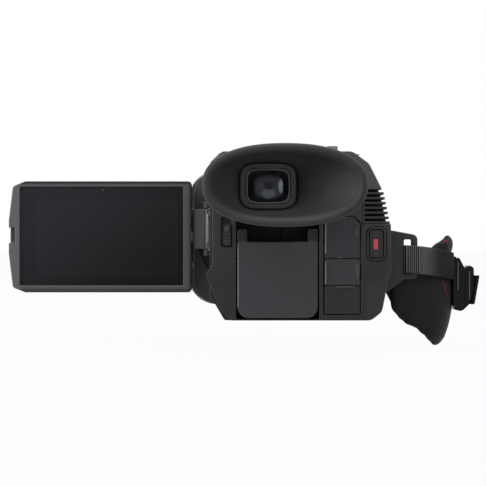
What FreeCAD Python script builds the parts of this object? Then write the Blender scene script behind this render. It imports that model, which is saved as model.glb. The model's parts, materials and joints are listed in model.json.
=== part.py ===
import FreeCAD, Part
import math
import os
import re

import Sketcher

# Camcorder, rear at -Y, lens at +Y, hand grip at +X, screen at -X, +Z up, in millimetres.
# The origin is the mouth of the tripod socket, on the base plane, under the lens axis.
# Every size below is a cell of the sheet; every feature is bound to those cells.

SIZES = {
    # Main housing, seen from the rear: the lens axis is x = 0
    "lens_height": 42.0,
    "body_left": 20.0,
    "body_right": 69.4,
    "body_top": 84.0,
    "body_floor": 0.6,
    "body_rear": 82.0,
    "body_front": 44.0,
    "left_foot_slope": 7.0,
    "left_foot_rise": 12.0,
    "column_left": 18.6,
    "flare_left": 21.9,
    "flare_height": 23.6,
    "flare_rise": 4.4,
    "heel_left": 15.2,
    "heel_height": 6.8,
    "heel_toe": 9.0,
    "left_top_slope": 5.0,
    "grip_foot_width": 9.5,
    "grip_foot_rise": 4.0,
    "grip_belly": 24.0,
    "grip_shoulder": 47.5,
    "grip_waist": 63.5,
    "grip_waist_depth": 3.5,
    "grip_brow": 78.0,
    "grip_brow_depth": 10.8,
    "grip_top_width": 19.0,
    "scoop_left": 57.0,
    "scoop_shoulder": 64.0,
    "scoop_top": 23.6,
    "scoop_bend": 17.5,
    "scoop_round": 4.0,
    "scoop_depth": 10.0,
    "grip_straight": 4.0,
    "grip_nose": 52.0,
    "grip_nose_width": 40.0,
    "grip_cheek": 58.0,
    "grip_cheek_length": 38.0,
    "housing_round": 5.0,
    "nose_round": 12.0,
    "seam": 16.0,
    "top_thickness": 6.0,
    "top_right": 47.5,
    "rear_frame_depth": 16.0,
    # Front housing round the lens
    "front_half_width": 30.5,
    "front_half_height": 37.0,
    "front_length": 20.0,
    "front_corner": 14.0,
    "front_round": 3.0,
    # Lens
    "barrel_radius": 17.2,
    "barrel_bore": 15.0,
    "bell_radius": 28.2,
    "bell_bore": 27.0,
    "bell_floor": 3.0,
    "barrel_rear": -30.0,
    "barrel_joint": 0.2,
    "collar_radius": 32.0,
    "collar_length": 26.0,
    "ring_radius": 35.5,
    "ring_length": 22.0,
    "ring_gap": 0.8,
    "ring_ribs": 40,
    "rib_depth": 0.8,
    "running_gap": 0.08,
    "filter_radius": 29.0,
    "filter_ring_radius": 32.4,
    "filter_ring_length": 8.0,
    "element_radius": 26.0,
    "element_rim": 5.0,
    "element_shoulder": 4.0,
    "element_bulge": 5.2,
    "zoom_group_length": 14.0,
    "zoom_group_place": 18.0,
    "focus_group_length": 9.0,
    "focus_group_place": -8.0,
    "group_bore": 10.6,
    "guide_rod_radius": 0.9,
    "guide_rod_place": 12.6,
    "sensor_thickness": 4.0,
    "sensor_half_height": 13.0,
    # Hood and its barrier
    "hood_half_width": 36.0,
    "hood_half_height": 39.4,
    "hood_corner": 17.0,
    "hood_rear_scale": 0.95,
    "hood_length": 52.0,
    "hood_cavity_half_width": 29.0,
    "hood_cavity_half_height": 33.0,
    "hood_cavity_corner": 3.0,
    "hood_mask": 5.0,
    "mask_half_width": 27.0,
    "mask_half_height": 21.0,
    "blade_thickness": 1.6,
    "blade_side_gap": 2.0,
    "blade_pin_radius": 1.3,
    "blade_pin_length": 3.0,
    "blade_pivot_setback": 4.0,
    "blade_pivot_height": 31.2,
    "barrier_travel": 10.0,
    "lever_width": 5.0,
    "lever_keeper_half": 4.5,
    "lever_height": 8.0,
    "lever_proud": 2.4,
    "lever_flange": 1.2,
    "mask_flare": 4.0,
    # Viewfinder
    "evf_centre": 8.7,
    "evf_half_width": 15.0,
    "evf_height": 66.4,
    "evf_half_height": 13.0,
    "evf_pivot": -60.0,
    "evf_rear": -95.0,
    "evf_side_gap": 0.5,
    "evf_pin_radius": 2.5,
    "evf_pin_overhang": 6.0,
    "evf_bore_half_width": 11.0,
    "evf_bore_half_height": 8.6,
    "evf_bore_depth": 30.0,
    "frame_half_width": 14.15,
    "frame_half_height": 11.5,
    "frame_thickness": 4.0,
    "frame_corner": 3.5,
    "window_corner": 3.0,
    "window_half_width": 10.2,
    "window_half_height": 8.0,
    "window_thickness": 1.5,
    "eyecup_rear": -130.0,
    "eyecup_centre": 15.65,
    "eyecup_rim_height": 66.2,
    "eyecup_half_width": 40.3,
    "eyecup_half_height": 19.8,
    "eyecup_corner": 18.5,
    "eyecup_waist": -108.0,
    "eyecup_waist_share": 0.3,
    "eyecup_waist_half_width": 22.0,
    "eyecup_waist_half_height": 15.5,
    "eyecup_wall": 2.2,
    "eyecup_waist_corner": 9.0,
    "eyecup_seat_gap": 2.4,
    "dioptre_travel": 4.0,
    "dioptre_setback": 3.0,
    "dioptre_half_length": 2.5,
    "dioptre_depth": 3.2,
    "dioptre_root": 2.0,
    "dioptre_proud": 1.2,
    # Battery and its bay
    "battery_left": -6.2,
    "battery_right": 33.4,
    "battery_bottom": 1.6,
    "battery_top": 39.4,
    "battery_depth": 42.0,
    "battery_corner": 5.5,
    "battery_lift": 4.0,
    "bay_gap": 0.6,
    "lift_spare": 0.6,
    "ear_width": 4.8,
    "ear_rise": 6.2,
    "ear_round": 0.8,
    "terminal_thickness": 2.5,
    "terminal_inset": 6.0,
    # Ports at the right of the bay
    "port_left": 36.2,
    "port_right": 54.4,
    "port_depth": 9.0,
    "cover_thickness": 2.0,
    "cover_gap": 0.3,
    "cover_lip": 1.6,
    "cover_pin_radius": 0.5,
    "upper_cover_top": 51.6,
    "upper_cover_bottom": 31.3,
    "middle_cover_top": 30.8,
    "middle_cover_bottom": 18.0,
    "lower_cover_top": 17.6,
    "lower_cover_bottom": 3.8,
    "port_chamfer": 3.2,
    "tab_width": 2.0,
    "tab_length": 7.0,
    "tab_proud": 0.5,
    "upper_tab_bottom": 41.3,
    "middle_tab_bottom": 21.4,
    "lower_tab_left": 42.0,
    "plug_hinge_inset": 5.6,
    "plug_inset": 3.2,
    "plug_depth": 1.6,
    "socket_hinge_inset": 6.4,
    "socket_inset": 4.0,
    "socket_wall": 0.8,
    # Recording button on the rear of the grip
    "button_left": 58.9,
    "button_right": 65.5,
    "button_bottom": 31.4,
    "button_top": 45.2,
    "bezel_rim": 1.1,
    "button_travel": 0.8,
    "button_gap": 0.3,
    "button_corner": 2.0,
    "bezel_depth": 5.0,
    "bezel_proud": 0.8,
    # Air outlet at the rear of the grip
    "vent_bottom": 48.3,
    "vent_pitch": 2.4,
    "vent_count": 7,
    "vent_fin": 1.2,
    "vent_depth": 30.0,
    "vent_inset": 14.2,
    "vent_corner": 4.0,
    # Screen panel and its two-axis hinge
    "panel_left": -130.5,
    "panel_right": -31.4,
    "panel_bottom": 12.0,
    "panel_top": 72.3,
    "panel_thickness": 11.0,
    "panel_chamfer": 9.0,
    "panel_bulge": 2.2,
    "panel_cheek": 2.7,
    "panel_round": 2.0,
    "bezel_thickness": 1.8,
    "glass_left": -124.4,
    "glass_right": -35.9,
    "glass_bottom": 15.8,
    "glass_top": 69.1,
    "glass_thickness": 1.0,
    "notch_bottom": 38.9,
    "notch_top": 47.1,
    "notch_depth": 3.4,
    "tilt_axis_y": 33.0,
    "tilt_axis_z": 42.2,
    "tilt_shaft_radius": 3.0,
    "tilt_shaft_depth": 12.0,
    "swing_axis_x": -21.5,
    "swing_axis_y": 26.0,
    "swing_pin_radius": 1.5,
    "barrel_outer": 3.2,
    "hinge_bottom": 35.5,
    "hinge_top": 57.2,
    "hinge_left": -31.0,
    "hinge_lug": 3.5,
    "lug_root": 0.5,
    "lug_round": 1.9,
    "hinge_gap": 0.3,
    "arm_step": 1.6,
    "shaft_seat": 6.0,
    # Top of the body
    "shoe_centre": 34.0,
    "shoe_half_width": 12.0,
    "shoe_slot_half_width": 9.4,
    "shoe_lip_opening": 6.4,
    "shoe_length": 22.0,
    "shoe_front": 6.0,
    "shoe_floor": 1.5,
    "shoe_slot_height": 2.2,
    "shoe_lip": 1.8,
    "shoe_round": 0.5,
    "rocker_x": 52.0,
    "rocker_y": -4.0,
    "rocker_half_length": 14.0,
    "rocker_half_width": 3.3,
    "rocker_rise": 3.2,
    "rocker_sink": 1.6,
    "rocker_well": 6.0,
    "well_corner": 0.9,
    "rocker_pivot": 3.0,
    "rocker_skirt": 2.0,
    "photo_button_radius": 3.2,
    "photo_button_y": -30.0,
    "top_button_travel": 0.8,
    # Base
    "socket_thread_radius": 3.175,
    "socket_radius": 7.0,
    "socket_depth": 8.0,
    "plate_left": -6.0,
    "plate_right": 46.0,
    "plate_rear": -30.0,
    "plate_front": 34.0,
    "plate_thickness": 3.0,
    "plate_corner": 4.0,
    "socket_thread_depth": 6.0,
    "foot_radius": 3.2,
    "foot_inset": 3.6,
    "foot_rear": -58.0,
    "foot_front": 30.0,
    # Screen-side bay
    "card_door_rear": -62.0,
    "card_door_front": -22.0,
    "card_door_bottom": 14.0,
    "card_door_top": 40.0,
    "card_door_thickness": 1.8,
    "card_slot_depth": 9.0,
    "card_slot_inset": 6.0,
    "card_slot_margin": 4.0,
    "bay_button_radius": 2.6,
    "bay_button_pitch": 11.0,
    "bay_button_rear": -58.0,
    "bay_button_height": 52.0,
    "bay_button_proud": 1.0,
    "bay_button_travel": 0.6,
    "switch_y": -12.0,
    "switch_travel": 4.0,
    "switch_half_length": 4.0,
    "switch_half_height": 2.5,
    "switch_depth": 2.0,
    # Battery release on the left column
    "release_left": -13.7,
    "release_right": -9.5,
    "release_bottom": 37.4,
    "release_top": 48.3,
    "release_proud": 1.2,
    "release_travel": 3.0,
    "release_depth": 2.5,
    # Hand strap
    "strap_rear": -45.0,
    "strap_front": 38.0,
    "bracket_root": 48.0,
    "bracket_reach": 85.4,
    "bracket_thickness": 3.0,
    "bracket_front_reach": 74.0,
    "bracket_slot": 3.6,
    "bracket_rim": 3.3,
    "bracket_corner": 3.0,
    "bracket_bottom": 20.4,
    "bracket_top": 45.4,
    "bracket_slope": 2.6,
    "bracket_run": 14.0,
    "bracket_web_drop": 7.4,
    "bracket_web_start": 16.4,
    "bracket_web_end": 6.8,
    "slot_bottom": 22.8,
    "slot_top": 40.6,
    "webbing_thickness": 1.6,
    "webbing_bottom": 23.6,
    "webbing_top": 37.8,
    "pad_outer": 107.8,
    "pad_thickness": 8.0,
    "pad_top": 41.5,
    "pad_bottom": -15.0,
    "pad_rear": -34.0,
    "pad_front": 30.0,
    "pad_rear_lap": 8.0,
    "pad_rear_rise": 21.5,
    "pad_rear_run": 11.5,
    "pad_rear_drop": 7.0,
    "pad_front_lap": 6.0,
    "pad_front_rise": 23.8,
    "pad_front_run": 19.6,
    "pad_front_drop": 2.0,
    "pad_top_run": 16.0,
    "pad_edge_round": 7.0,
    "pad_start_share": 0.8,
    "pad_end_share": 0.6,
    "pad_shoulder_share": 0.4,
    "pad_rear_start": 77.6,
    "pad_front_start": 76.0,
    "pad_shoulder": 18.5,
    "pad_bend": 12.0,
    "webbing_end": 3.0,
    "buckle_thickness": 3.2,
    "buckle_half_length": 12.0,
    "buckle_bottom": 5.0,
    "buckle_top": 33.0,
    "buckle_point": 1.4,
    "buckle_round": 0.7,
    "buckle_window_place": 8.4,
    "keeper_half_length": 8.4,
    "keeper_depth": 5.5,
    "keeper_drop": 2.0,
    "keeper_heel": 9.0,
    "keeper_top": 27.0,
    "keeper_round": 1.4,
    "tail_bottom": 6.6,
    "tail_top": 21.8,
}

doc = FreeCAD.newDocument("camcorder")
sheet = doc.addObject("Spreadsheet::Sheet", "Sizes")
for row, (alias, number) in enumerate(SIZES.items(), start=1):
    sheet.set(f"A{row}", alias)
    sheet.set(f"B{row}", str(number))
    sheet.setAlias(f"B{row}", alias)
doc.recompute()

WORD = re.compile(r"[a-z]\w*")
AXES = {"XY": "XY_Plane", "XZ": "XZ_Plane", "YZ": "YZ_Plane"}
subparts = []


def formula(text):
    """Write a formula of size names as an expression on the sheet's cells."""
    return WORD.sub(lambda word: f"Sizes.{word[0]}" if word[0] in SIZES else word[0], str(text))


def value(text):
    """The number that a formula of size names gives."""
    return float(sheet.evalExpression(formula(text)))


def bind(thing, prop, text):
    thing.setExpression(prop, formula(text))


def named(thing, label):
    """Make an object a sub-part of the camcorder under its own name."""
    thing.Label = label
    subparts.append(thing)
    return thing


def new_body(name):
    return doc.addObject("PartDesign::Body", name)


def origin_of(body, role):
    return next(item for item in body.Origin.OriginFeatures if item.Role == role)


def new_sketch(body, plane, offset):
    """A sketch parallel to an origin plane; XZ sketches look along +Y, so their offset is -y."""
    sketch = body.newObject("Sketcher::SketchObject", "Sketch")
    sketch.AttachmentSupport = (origin_of(body, AXES[plane]), [""])
    sketch.MapMode = "FlatFace"
    bind(sketch, "AttachmentOffset.Base.z", offset)
    return sketch


def fix_point(sketch, geometry, end, x, y):
    """Tie a sketch point to its two coordinates."""
    for kind, text in (("DistanceX", x), ("DistanceY", y)):
        number = sketch.addConstraint(Sketcher.Constraint(kind, -1, 1, geometry, end, value(text)))
        bind(sketch, f"Constraints[{number}]", text)


def draw_outline(sketch, corners):
    """A closed outline of straight lines through corners given as formulas."""
    points = [FreeCAD.Vector(value(x), value(y), 0) for x, y in corners]
    first = sketch.GeometryCount
    count = len(points)
    for index in range(count):
        sketch.addGeometry(Part.LineSegment(points[index], points[(index + 1) % count]), False)
    for index, (x, y) in enumerate(corners):
        following = first + (index + 1) % count
        sketch.addConstraint(Sketcher.Constraint("Coincident", first + index, 2, following, 1))
        fix_point(sketch, first + index, 1, x, y)


def draw_round_box(sketch, left, right, bottom, top, corner):
    """A rectangle with four equal round corners, every arc centre and end tied to its place."""
    x = {"left": (left, f"{left} + {corner}"), "right": (right, f"{right} - ({corner})")}
    y = {"bottom": (bottom, f"{bottom} + {corner}"), "top": (top, f"{top} - ({corner})")}
    quarters = [("right", "top", 0), ("left", "top", 1), ("left", "bottom", 2), ("right", "bottom", 3)]
    ends = []
    for side, level, turn in quarters:
        (edge_x, centre_x), (edge_y, centre_y) = x[side], y[level]
        centre = FreeCAD.Vector(value(centre_x), value(centre_y), 0)
        circle = Part.Circle(centre, FreeCAD.Vector(0, 0, 1), value(corner))
        start = turn * math.pi / 2
        number = sketch.addGeometry(Part.ArcOfCircle(circle, start, start + math.pi / 2), False)
        on_side = (edge_x, centre_y)
        on_level = (centre_x, edge_y)
        first, last = (on_side, on_level) if turn % 2 == 0 else (on_level, on_side)
        ends.append((number, first, last))
    for index, (number, first, last) in enumerate(ends):
        following, next_first, _ = ends[(index + 1) % 4]
        start = FreeCAD.Vector(value(last[0]), value(last[1]), 0)
        finish = FreeCAD.Vector(value(next_first[0]), value(next_first[1]), 0)
        line = sketch.addGeometry(Part.LineSegment(start, finish), False)
        sketch.addConstraint(Sketcher.Constraint("Tangent", number, 2, line, 1))
        sketch.addConstraint(Sketcher.Constraint("Tangent", line, 2, following, 1))
        direction = "Horizontal" if index % 2 == 0 else "Vertical"
        sketch.addConstraint(Sketcher.Constraint(direction, line))
    fix_point(sketch, ends[0][0], 1, *ends[0][1])
    fix_point(sketch, ends[2][0], 1, *ends[2][1])
    for number, _, _ in ends[1:]:
        sketch.addConstraint(Sketcher.Constraint("Equal", ends[0][0], number))
    radius = sketch.addConstraint(Sketcher.Constraint("Radius", ends[0][0], value(corner)))
    bind(sketch, f"Constraints[{radius}]", corner)


def span(plane, low, high, inward):
    """Offset and length of a feature that fills low to high across its sketch plane."""
    offset = {"XY": (low, high), "YZ": (low, high), "XZ": (f"-({high})", f"-({low})")}[plane]
    return offset[1 if inward else 0], f"({high}) - ({low})"


def add_pad(body, plane, low, high, draw, *shape):
    """Pad the drawn outline from low to high."""
    offset, length = span(plane, low, high, False)
    sketch = new_sketch(body, plane, offset)
    draw(sketch, *shape)
    pad = body.newObject("PartDesign::Pad", "Pad")
    pad.Profile = sketch
    bind(pad, "Length", length)
    doc.recompute()
    return pad


def add_pocket(body, plane, low, high, draw, *shape):
    """Cut the drawn outline from low to high, and make sure that it cut something."""
    before = body.Shape.Volume
    offset, length = span(plane, low, high, True)
    sketch = new_sketch(body, plane, offset)
    draw(sketch, *shape)
    pocket = body.newObject("PartDesign::Pocket", "Pocket")
    pocket.Profile = sketch
    bind(pocket, "Length", length)
    doc.recompute()
    if body.Shape.Volume >= before:
        raise RuntimeError(f"a pocket of {body.Name} cuts nothing")
    return pocket


def add_fillet(body, edges, radius):
    """Round chosen edges of the body's latest feature."""
    base = body.Tip
    names = [f"Edge{number}" for number, edge in enumerate(base.Shape.Edges, start=1) if edges(edge)]
    if not names:
        raise RuntimeError(f"no edges to round on {body.Name}")
    fillet = body.newObject("PartDesign::Fillet", "Fillet")
    fillet.Base = (base, names)
    bind(fillet, "Radius", radius)
    doc.recompute()
    return fillet


def at_corners(plane, *corners):
    """Choose the edges that run across a plane at the given corners."""
    first, second = {"XY": ("x", "y"), "XZ": ("x", "z"), "YZ": ("y", "z")}[plane]
    places = [(value(a), value(b)) for a, b in corners]

    def chosen(edge):
        ends = [vertex.Point for vertex in edge.Vertexes]
        return len(ends) == 2 and any(
            all(abs(getattr(end, first) - a) + abs(getattr(end, second) - b) < 0.01 for end in ends)
            for a, b in places)
    return chosen


def in_plane(axis, place):
    """Choose the edges that lie wholly in the plane axis = place."""
    level = value(place)

    def chosen(edge):
        box = edge.BoundBox
        low, high = getattr(box, f"{axis.upper()}Min"), getattr(box, f"{axis.upper()}Max")
        return abs(low - level) < 0.01 and abs(high - level) < 0.01
    return chosen


def prism(name, plane, low, high, corners, rounds=()):
    """A body padded from straight corners, some of them rounded afterwards."""
    body = new_body(name)
    add_pad(body, plane, low, high, draw_outline, corners)
    for numbers, radius in rounds:
        add_fillet(body, at_corners(plane, *[corners[number] for number in numbers]), radius)
    return body


def round_block(name, plane, low, high, left, right, bottom, top, corner):
    """A body padded from a round-cornered rectangle."""
    body = new_body(name)
    add_pad(body, plane, low, high, draw_round_box, left, right, bottom, top, corner)
    return body


def turned(name, profile, height="lens_height"):
    """A body turned about the lens axis from a (y, radius) profile."""
    body = new_body(name)
    sketch = new_sketch(body, "YZ", "0")
    draw_outline(sketch, profile)
    turn = body.newObject("PartDesign::Revolution", "Revolution")
    turn.Profile = sketch
    turn.ReferenceAxis = (origin_of(body, "Y_Axis"), [""])
    bind(body, "Placement.Base.z", height)
    doc.recompute()
    return body


def lofted(name, sections):
    """A body lofted through round-cornered rectangles, each given with its place along y."""
    body = new_body(name)
    sketches = []
    for place, shape in sections:
        sketch = new_sketch(body, "XZ", f"-({place})")
        draw_round_box(sketch, *shape)
        sketches.append(sketch)
    loft = body.newObject("PartDesign::AdditiveLoft", "Loft")
    loft.Profile = sketches[0]
    loft.Sections = sketches[1:]
    doc.recompute()
    return body


def block(name, x_range, y_range, z_range):
    """A plain block between two formulas on each axis."""
    box = doc.addObject("Part::Box", name)
    for side, axis, (low, high) in zip(("Length", "Width", "Height"), "xyz",
                                       (x_range, y_range, z_range)):
        bind(box, side, f"({high}) - ({low})")
        bind(box, f"Placement.Base.{axis}", low)
    return box


TURNS = {
    "x": FreeCAD.Rotation(FreeCAD.Vector(0, 1, 0), 90),
    "y": FreeCAD.Rotation(FreeCAD.Vector(1, 0, 0), -90),
    "z": FreeCAD.Rotation(),
}


def cylinder(name, axis, start, length, radius):
    """A plain cylinder that starts at a point and runs along +axis."""
    rod = doc.addObject("Part::Cylinder", name)
    rod.Placement = FreeCAD.Placement(FreeCAD.Vector(), TURNS[axis])
    bind(rod, "Radius", radius)
    bind(rod, "Height", length)
    for letter, place in zip("xyz", start):
        bind(rod, f"Placement.Base.{letter}", place)
    return rod


def fused(name, *shapes):
    union = doc.addObject("Part::MultiFuse", name)
    union.Shapes = list(shapes)
    return union


def cut(name, base, *tools):
    """Take one or more tools out of a base."""
    result = doc.addObject("Part::Cut", name)
    result.Base = base
    result.Tool = tools[0] if len(tools) == 1 else fused(name + "_tools", *tools)
    doc.recompute()
    return result


def shared(name, first, second):
    result = doc.addObject("Part::Common", name)
    result.Base = first
    result.Tool = second
    doc.recompute()
    return result


# Places worked out from the sizes, as formulas.
RIGHT = "body_right"
LEFT = "-body_left"
REAR = "-body_rear"
FRAME_FRONT = f"{REAR} + rear_frame_depth"
LENS_FRONT = "body_front + front_length"
RING_REAR = f"{LENS_FRONT} + ring_gap"
RING_FRONT = f"{RING_REAR} + ring_length"
COLLAR_FRONT = f"{LENS_FRONT} + collar_length"
FILTER_FRONT = f"{COLLAR_FRONT} + filter_ring_length"
HOOD_REAR = f"{RING_FRONT} + ring_gap"
HOOD_FRONT = f"{HOOD_REAR} + hood_length"
CAVITY_REAR = f"{FILTER_FRONT} + ring_gap"

# Housing: one outline seen from the rear, one from above, and their common volume.
housing_outline = [
    (LEFT, "body_floor + left_foot_rise"),
    (f"{LEFT} + left_foot_slope", "body_floor"),
    (f"{RIGHT} - grip_foot_width", "body_floor"),
    (f"{RIGHT} - grip_foot_rise", "body_floor + grip_foot_rise"),
    (RIGHT, "grip_belly"),
    (RIGHT, "grip_shoulder"),
    (f"{RIGHT} - grip_waist_depth", "grip_waist"),
    (f"{RIGHT} - grip_brow_depth", "grip_brow"),
    (f"{RIGHT} - grip_top_width", "body_top"),
    (f"{LEFT} + left_top_slope", "body_top"),
    (LEFT, "body_top - left_top_slope"),
]
housing_plan = [
    (LEFT, FRAME_FRONT),
    (RIGHT, FRAME_FRONT),
    (RIGHT, "grip_straight"),
    ("grip_cheek", "grip_cheek_length"),
    ("grip_nose_width", "grip_nose"),
    ("front_half_width + cover_gap", "grip_nose"),
    ("front_half_width + cover_gap", "body_front"),
    (LEFT, "body_front"),
]
side_form = prism("side_form", "XZ", FRAME_FRONT, "grip_nose + 1", housing_outline,
                  [((2, 3, 7, 8), "housing_round")])
plan_form = prism("plan_form", "XY", "0", "body_top + 1", housing_plan,
                  [((2, 3, 4), "nose_round")])
housing = shared("housing", side_form, plan_form)
rear_outline = [
    ("-flare_left", "flare_height"), ("-heel_left", "heel_height"), ("-heel_toe", "body_floor"),
    *housing_outline[2:9],
    ("left_top_slope - column_left", "body_top"), ("-column_left", "body_top - left_top_slope"),
    ("-column_left", "flare_height + flare_rise"),
]
rear_block = prism("rear_block", "XZ", REAR, FRAME_FRONT, rear_outline,
                   [((3, 4, 8, 9), "housing_round")])
heel_outline = prism("heel_outline", "XZ", f"{REAR} - 1", FRAME_FRONT, [
    ("scoop_left", "-1"), (f"{RIGHT} + 1", "-1"), (f"{RIGHT} + 1", "scoop_top"),
    ("scoop_shoulder", "scoop_top"), ("scoop_left", "scoop_bend")], [((3,), "scoop_round")])
heel_slope = prism("heel_slope", "XY", "-1", "scoop_top", [
    ("scoop_left", REAR), (f"{RIGHT} + 1", f"{REAR} - 1"), (f"{RIGHT} + 1", f"{REAR} + scoop_depth")])
rear_form = cut("rear_form", rear_block, shared("heel_scoop", heel_outline, heel_slope))

# Volumes taken out of the housing.
BAY_LEFT = "battery_left - bay_gap"
BAY_RIGHT = "battery_right + bay_gap"
BAY_BOTTOM = "battery_bottom - bay_gap / 2"
BAY_TOP = "battery_top + ear_rise + battery_lift + lift_spare"
BAY_FRONT = f"{REAR} + battery_depth + terminal_thickness"
battery_bay = block("battery_bay", (BAY_LEFT, BAY_RIGHT), (f"{REAR} - 1", BAY_FRONT),
                    (BAY_BOTTOM, BAY_TOP))
EVF_LEFT = "evf_centre - evf_half_width"
EVF_RIGHT = "evf_centre + evf_half_width"
EVF_BOTTOM = "evf_height - evf_half_height"
evf_slot = fused(
    "evf_slot",
    block("evf_slot_box", (f"{EVF_LEFT} - evf_side_gap", f"{EVF_RIGHT} + evf_side_gap"),
          (f"{REAR} - 1", "evf_pivot"), (f"{EVF_BOTTOM} - evf_side_gap", "body_top + 1")),
    cylinder("evf_slot_nose", "x", (f"{EVF_LEFT} - evf_side_gap", "evf_pivot", "evf_height"),
             "2 * (evf_half_width + evf_side_gap)", "evf_half_height + evf_side_gap"),
    block("evf_slot_top", (f"{EVF_LEFT} - evf_side_gap", f"{EVF_RIGHT} + evf_side_gap"),
          (f"{REAR} - 1", "evf_pivot + evf_half_height + evf_side_gap"),
          ("evf_height", "body_top + 1")))
EVF_PIN_LEFT = f"{EVF_LEFT} - evf_pin_overhang"
EVF_PIN_LENGTH = "2 * (evf_half_width + evf_pin_overhang)"
evf_pin_hole = cylinder("evf_pin_hole", "x", (EVF_PIN_LEFT, "evf_pivot", "evf_height"),
                        EVF_PIN_LENGTH, "evf_pin_radius")
lens_tunnel = cylinder("lens_tunnel", "y", ("0", "barrel_rear", "lens_height"),
                       "body_front + 1 - barrel_rear", "barrel_radius")
sensor_recess = block("sensor_recess", ("-sensor_half_height", "sensor_half_height"),
                      ("barrel_rear - sensor_thickness", "barrel_rear"),
                      ("lens_height - sensor_half_height", "lens_height + sensor_half_height"))
base_recess = block("base_recess", ("plate_left", "plate_right"), ("plate_rear", "plate_front"),
                    ("0", "plate_thickness"))
socket_hole = cylinder("socket_hole", "z", ("0", "0", "0"), "socket_depth", "socket_radius")
swing_groove = cylinder("swing_groove", "z",
                        ("swing_axis_x", "swing_axis_y", "hinge_bottom - hinge_gap"),
                        "hinge_top - hinge_bottom + 2 * hinge_gap", "barrel_outer + 2 * hinge_gap")
card_recess = block("card_recess", (f"{LEFT} - 1", f"{LEFT} + card_door_thickness"),
                    ("card_door_rear - cover_gap", "card_door_front + cover_gap"),
                    ("card_door_bottom - cover_gap", "card_door_top + cover_gap"))
card_slot = block("card_slot", (f"{LEFT} - 1", f"{LEFT} + card_slot_depth"),
                  ("card_door_rear + card_slot_inset", "card_door_front - card_slot_inset"),
                  ("card_door_bottom + card_slot_margin", "card_door_top - card_slot_margin"))
vent_recess = block("vent_recess", (f"{RIGHT} - vent_inset", f"{RIGHT} + 1"),
                    (f"{REAR} - 1", f"{REAR} + vent_depth"),
                    ("vent_bottom", "vent_bottom + vent_count * vent_pitch"))
TOP_SPLIT = "body_top - top_thickness"
top_zone = block("top_zone", (f"{LEFT} - 1", "top_right"),
                 (FRAME_FRONT, "body_front"), (TOP_SPLIT, "body_top + 2"))
left_zone = block("left_zone", (f"{LEFT} - 1", "seam"), (f"{REAR} - 1", "grip_nose + 1"),
                  ("-1", "body_top + 2"))
carved = cut("carved", housing, battery_bay, evf_slot, evf_pin_hole, lens_tunnel, sensor_recess, base_recess,
             socket_hole, swing_groove, card_recess, card_slot, vent_recess)

# Housing shells: the carved housing divided at its real seams. The left one holds the
# screen-side buttons, the card door and two seated metal lugs for the screen's swing pin.
lower_housing = cut("lower_housing", carved, top_zone)
lug_corners = [
    (f"{LEFT} + lug_root", "swing_axis_y - barrel_outer"),
    ("swing_axis_x - barrel_outer", "swing_axis_y - barrel_outer"),
    ("swing_axis_x - barrel_outer", "swing_axis_y + barrel_outer"),
    (f"{LEFT} + lug_root", "swing_axis_y + barrel_outer"),
]
LUG_BOTTOM = "hinge_bottom - hinge_gap - hinge_lug"
LUG_TOP = "hinge_top + hinge_gap + hinge_lug"
hinge_lugs = [
    prism("hinge_lug", "XY", low, high, lug_corners, [((1, 2), "lug_round")])
    for low, high in ((LUG_BOTTOM, "hinge_bottom - hinge_gap"), ("hinge_top + hinge_gap", LUG_TOP))
]
swing_pin_hole = cylinder("swing_pin_hole", "z", ("swing_axis_x", "swing_axis_y", LUG_BOTTOM),
                          f"{LUG_TOP} - ({LUG_BOTTOM})", "swing_pin_radius")
bay_button_places = [f"bay_button_rear + {number} * bay_button_pitch" for number in range(3)]
BUTTON_DEEP = "bay_button_proud + 3 * bay_button_travel"
button_holes = [
    cylinder("button_hole", "x", (f"{LEFT} - 1", place, "bay_button_height"),
             f"1 + {BUTTON_DEEP}", "bay_button_radius + button_gap")
    for place in bay_button_places
]
SWITCH_Z = "bay_button_height"
switch_slot = block("switch_slot", (f"{LEFT} - 1", f"{LEFT} + switch_depth + button_gap"),
                    ("switch_y - switch_half_length - button_gap",
                     "switch_y + switch_half_length + switch_travel + button_gap"),
                    (f"{SWITCH_Z} - switch_half_height - button_gap",
                     f"{SWITCH_Z} + switch_half_height + button_gap"))
named(cut("lugs_cut", fused("lug_pair", *hinge_lugs), swing_pin_hole), "lcd_hinge_lugs")
left_carved = cut("left_shell_cut", shared("left_half", lower_housing, left_zone), *hinge_lugs,
                  switch_slot, *button_holes)
DOOR_PIN = (f"{LEFT} + card_door_thickness / 2", "card_door_rear - cover_gap - cover_lip",
            "card_door_bottom + card_door_thickness / 2")
door_pin = cylinder("door_pin", "y", DOOR_PIN,
                    "card_door_front - card_door_rear + 2 * (cover_gap + cover_lip)",
                    "cover_pin_radius")
named(fused("left_shell_form", left_carved, door_pin), "left_shell")

# Grip half, with its zoom rocker well, its photo button well and the shoe and strap seats.
ROCKER_FLOOR = "body_top - rocker_well"
rocker_well = round_block("rocker_well_form", "XY", ROCKER_FLOOR, "body_top + 1",
                          "rocker_x - rocker_half_width - button_gap",
                          "rocker_x + rocker_half_width + button_gap",
                          "rocker_y - rocker_half_length - 2 * button_gap",
                          "rocker_y + rocker_half_length + 2 * button_gap",
                          "well_corner")
photo_well = cylinder("photo_well", "z", ("rocker_x", "photo_button_y", ROCKER_FLOOR),
                      "rocker_well + 1", "photo_button_radius + button_gap")
ROCKER_Z = f"{ROCKER_FLOOR} + rocker_pivot"
rocker_pin = cylinder("rocker_pin", "x", ("rocker_x - rocker_half_width - 2 * button_gap", "rocker_y",
                                          ROCKER_Z),
                      "2 * (rocker_half_width + 2 * button_gap)", "cover_pin_radius")
right_base = cut("right_base", lower_housing, left_zone)
right_carved = cut("right_shell_cut", right_base, rocker_well, photo_well)
named(fused("right_shell_form", right_carved, rocker_pin), "right_shell")

top_form = shared("top_form", carved, top_zone)
named(top_form, "top_cover")

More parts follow.
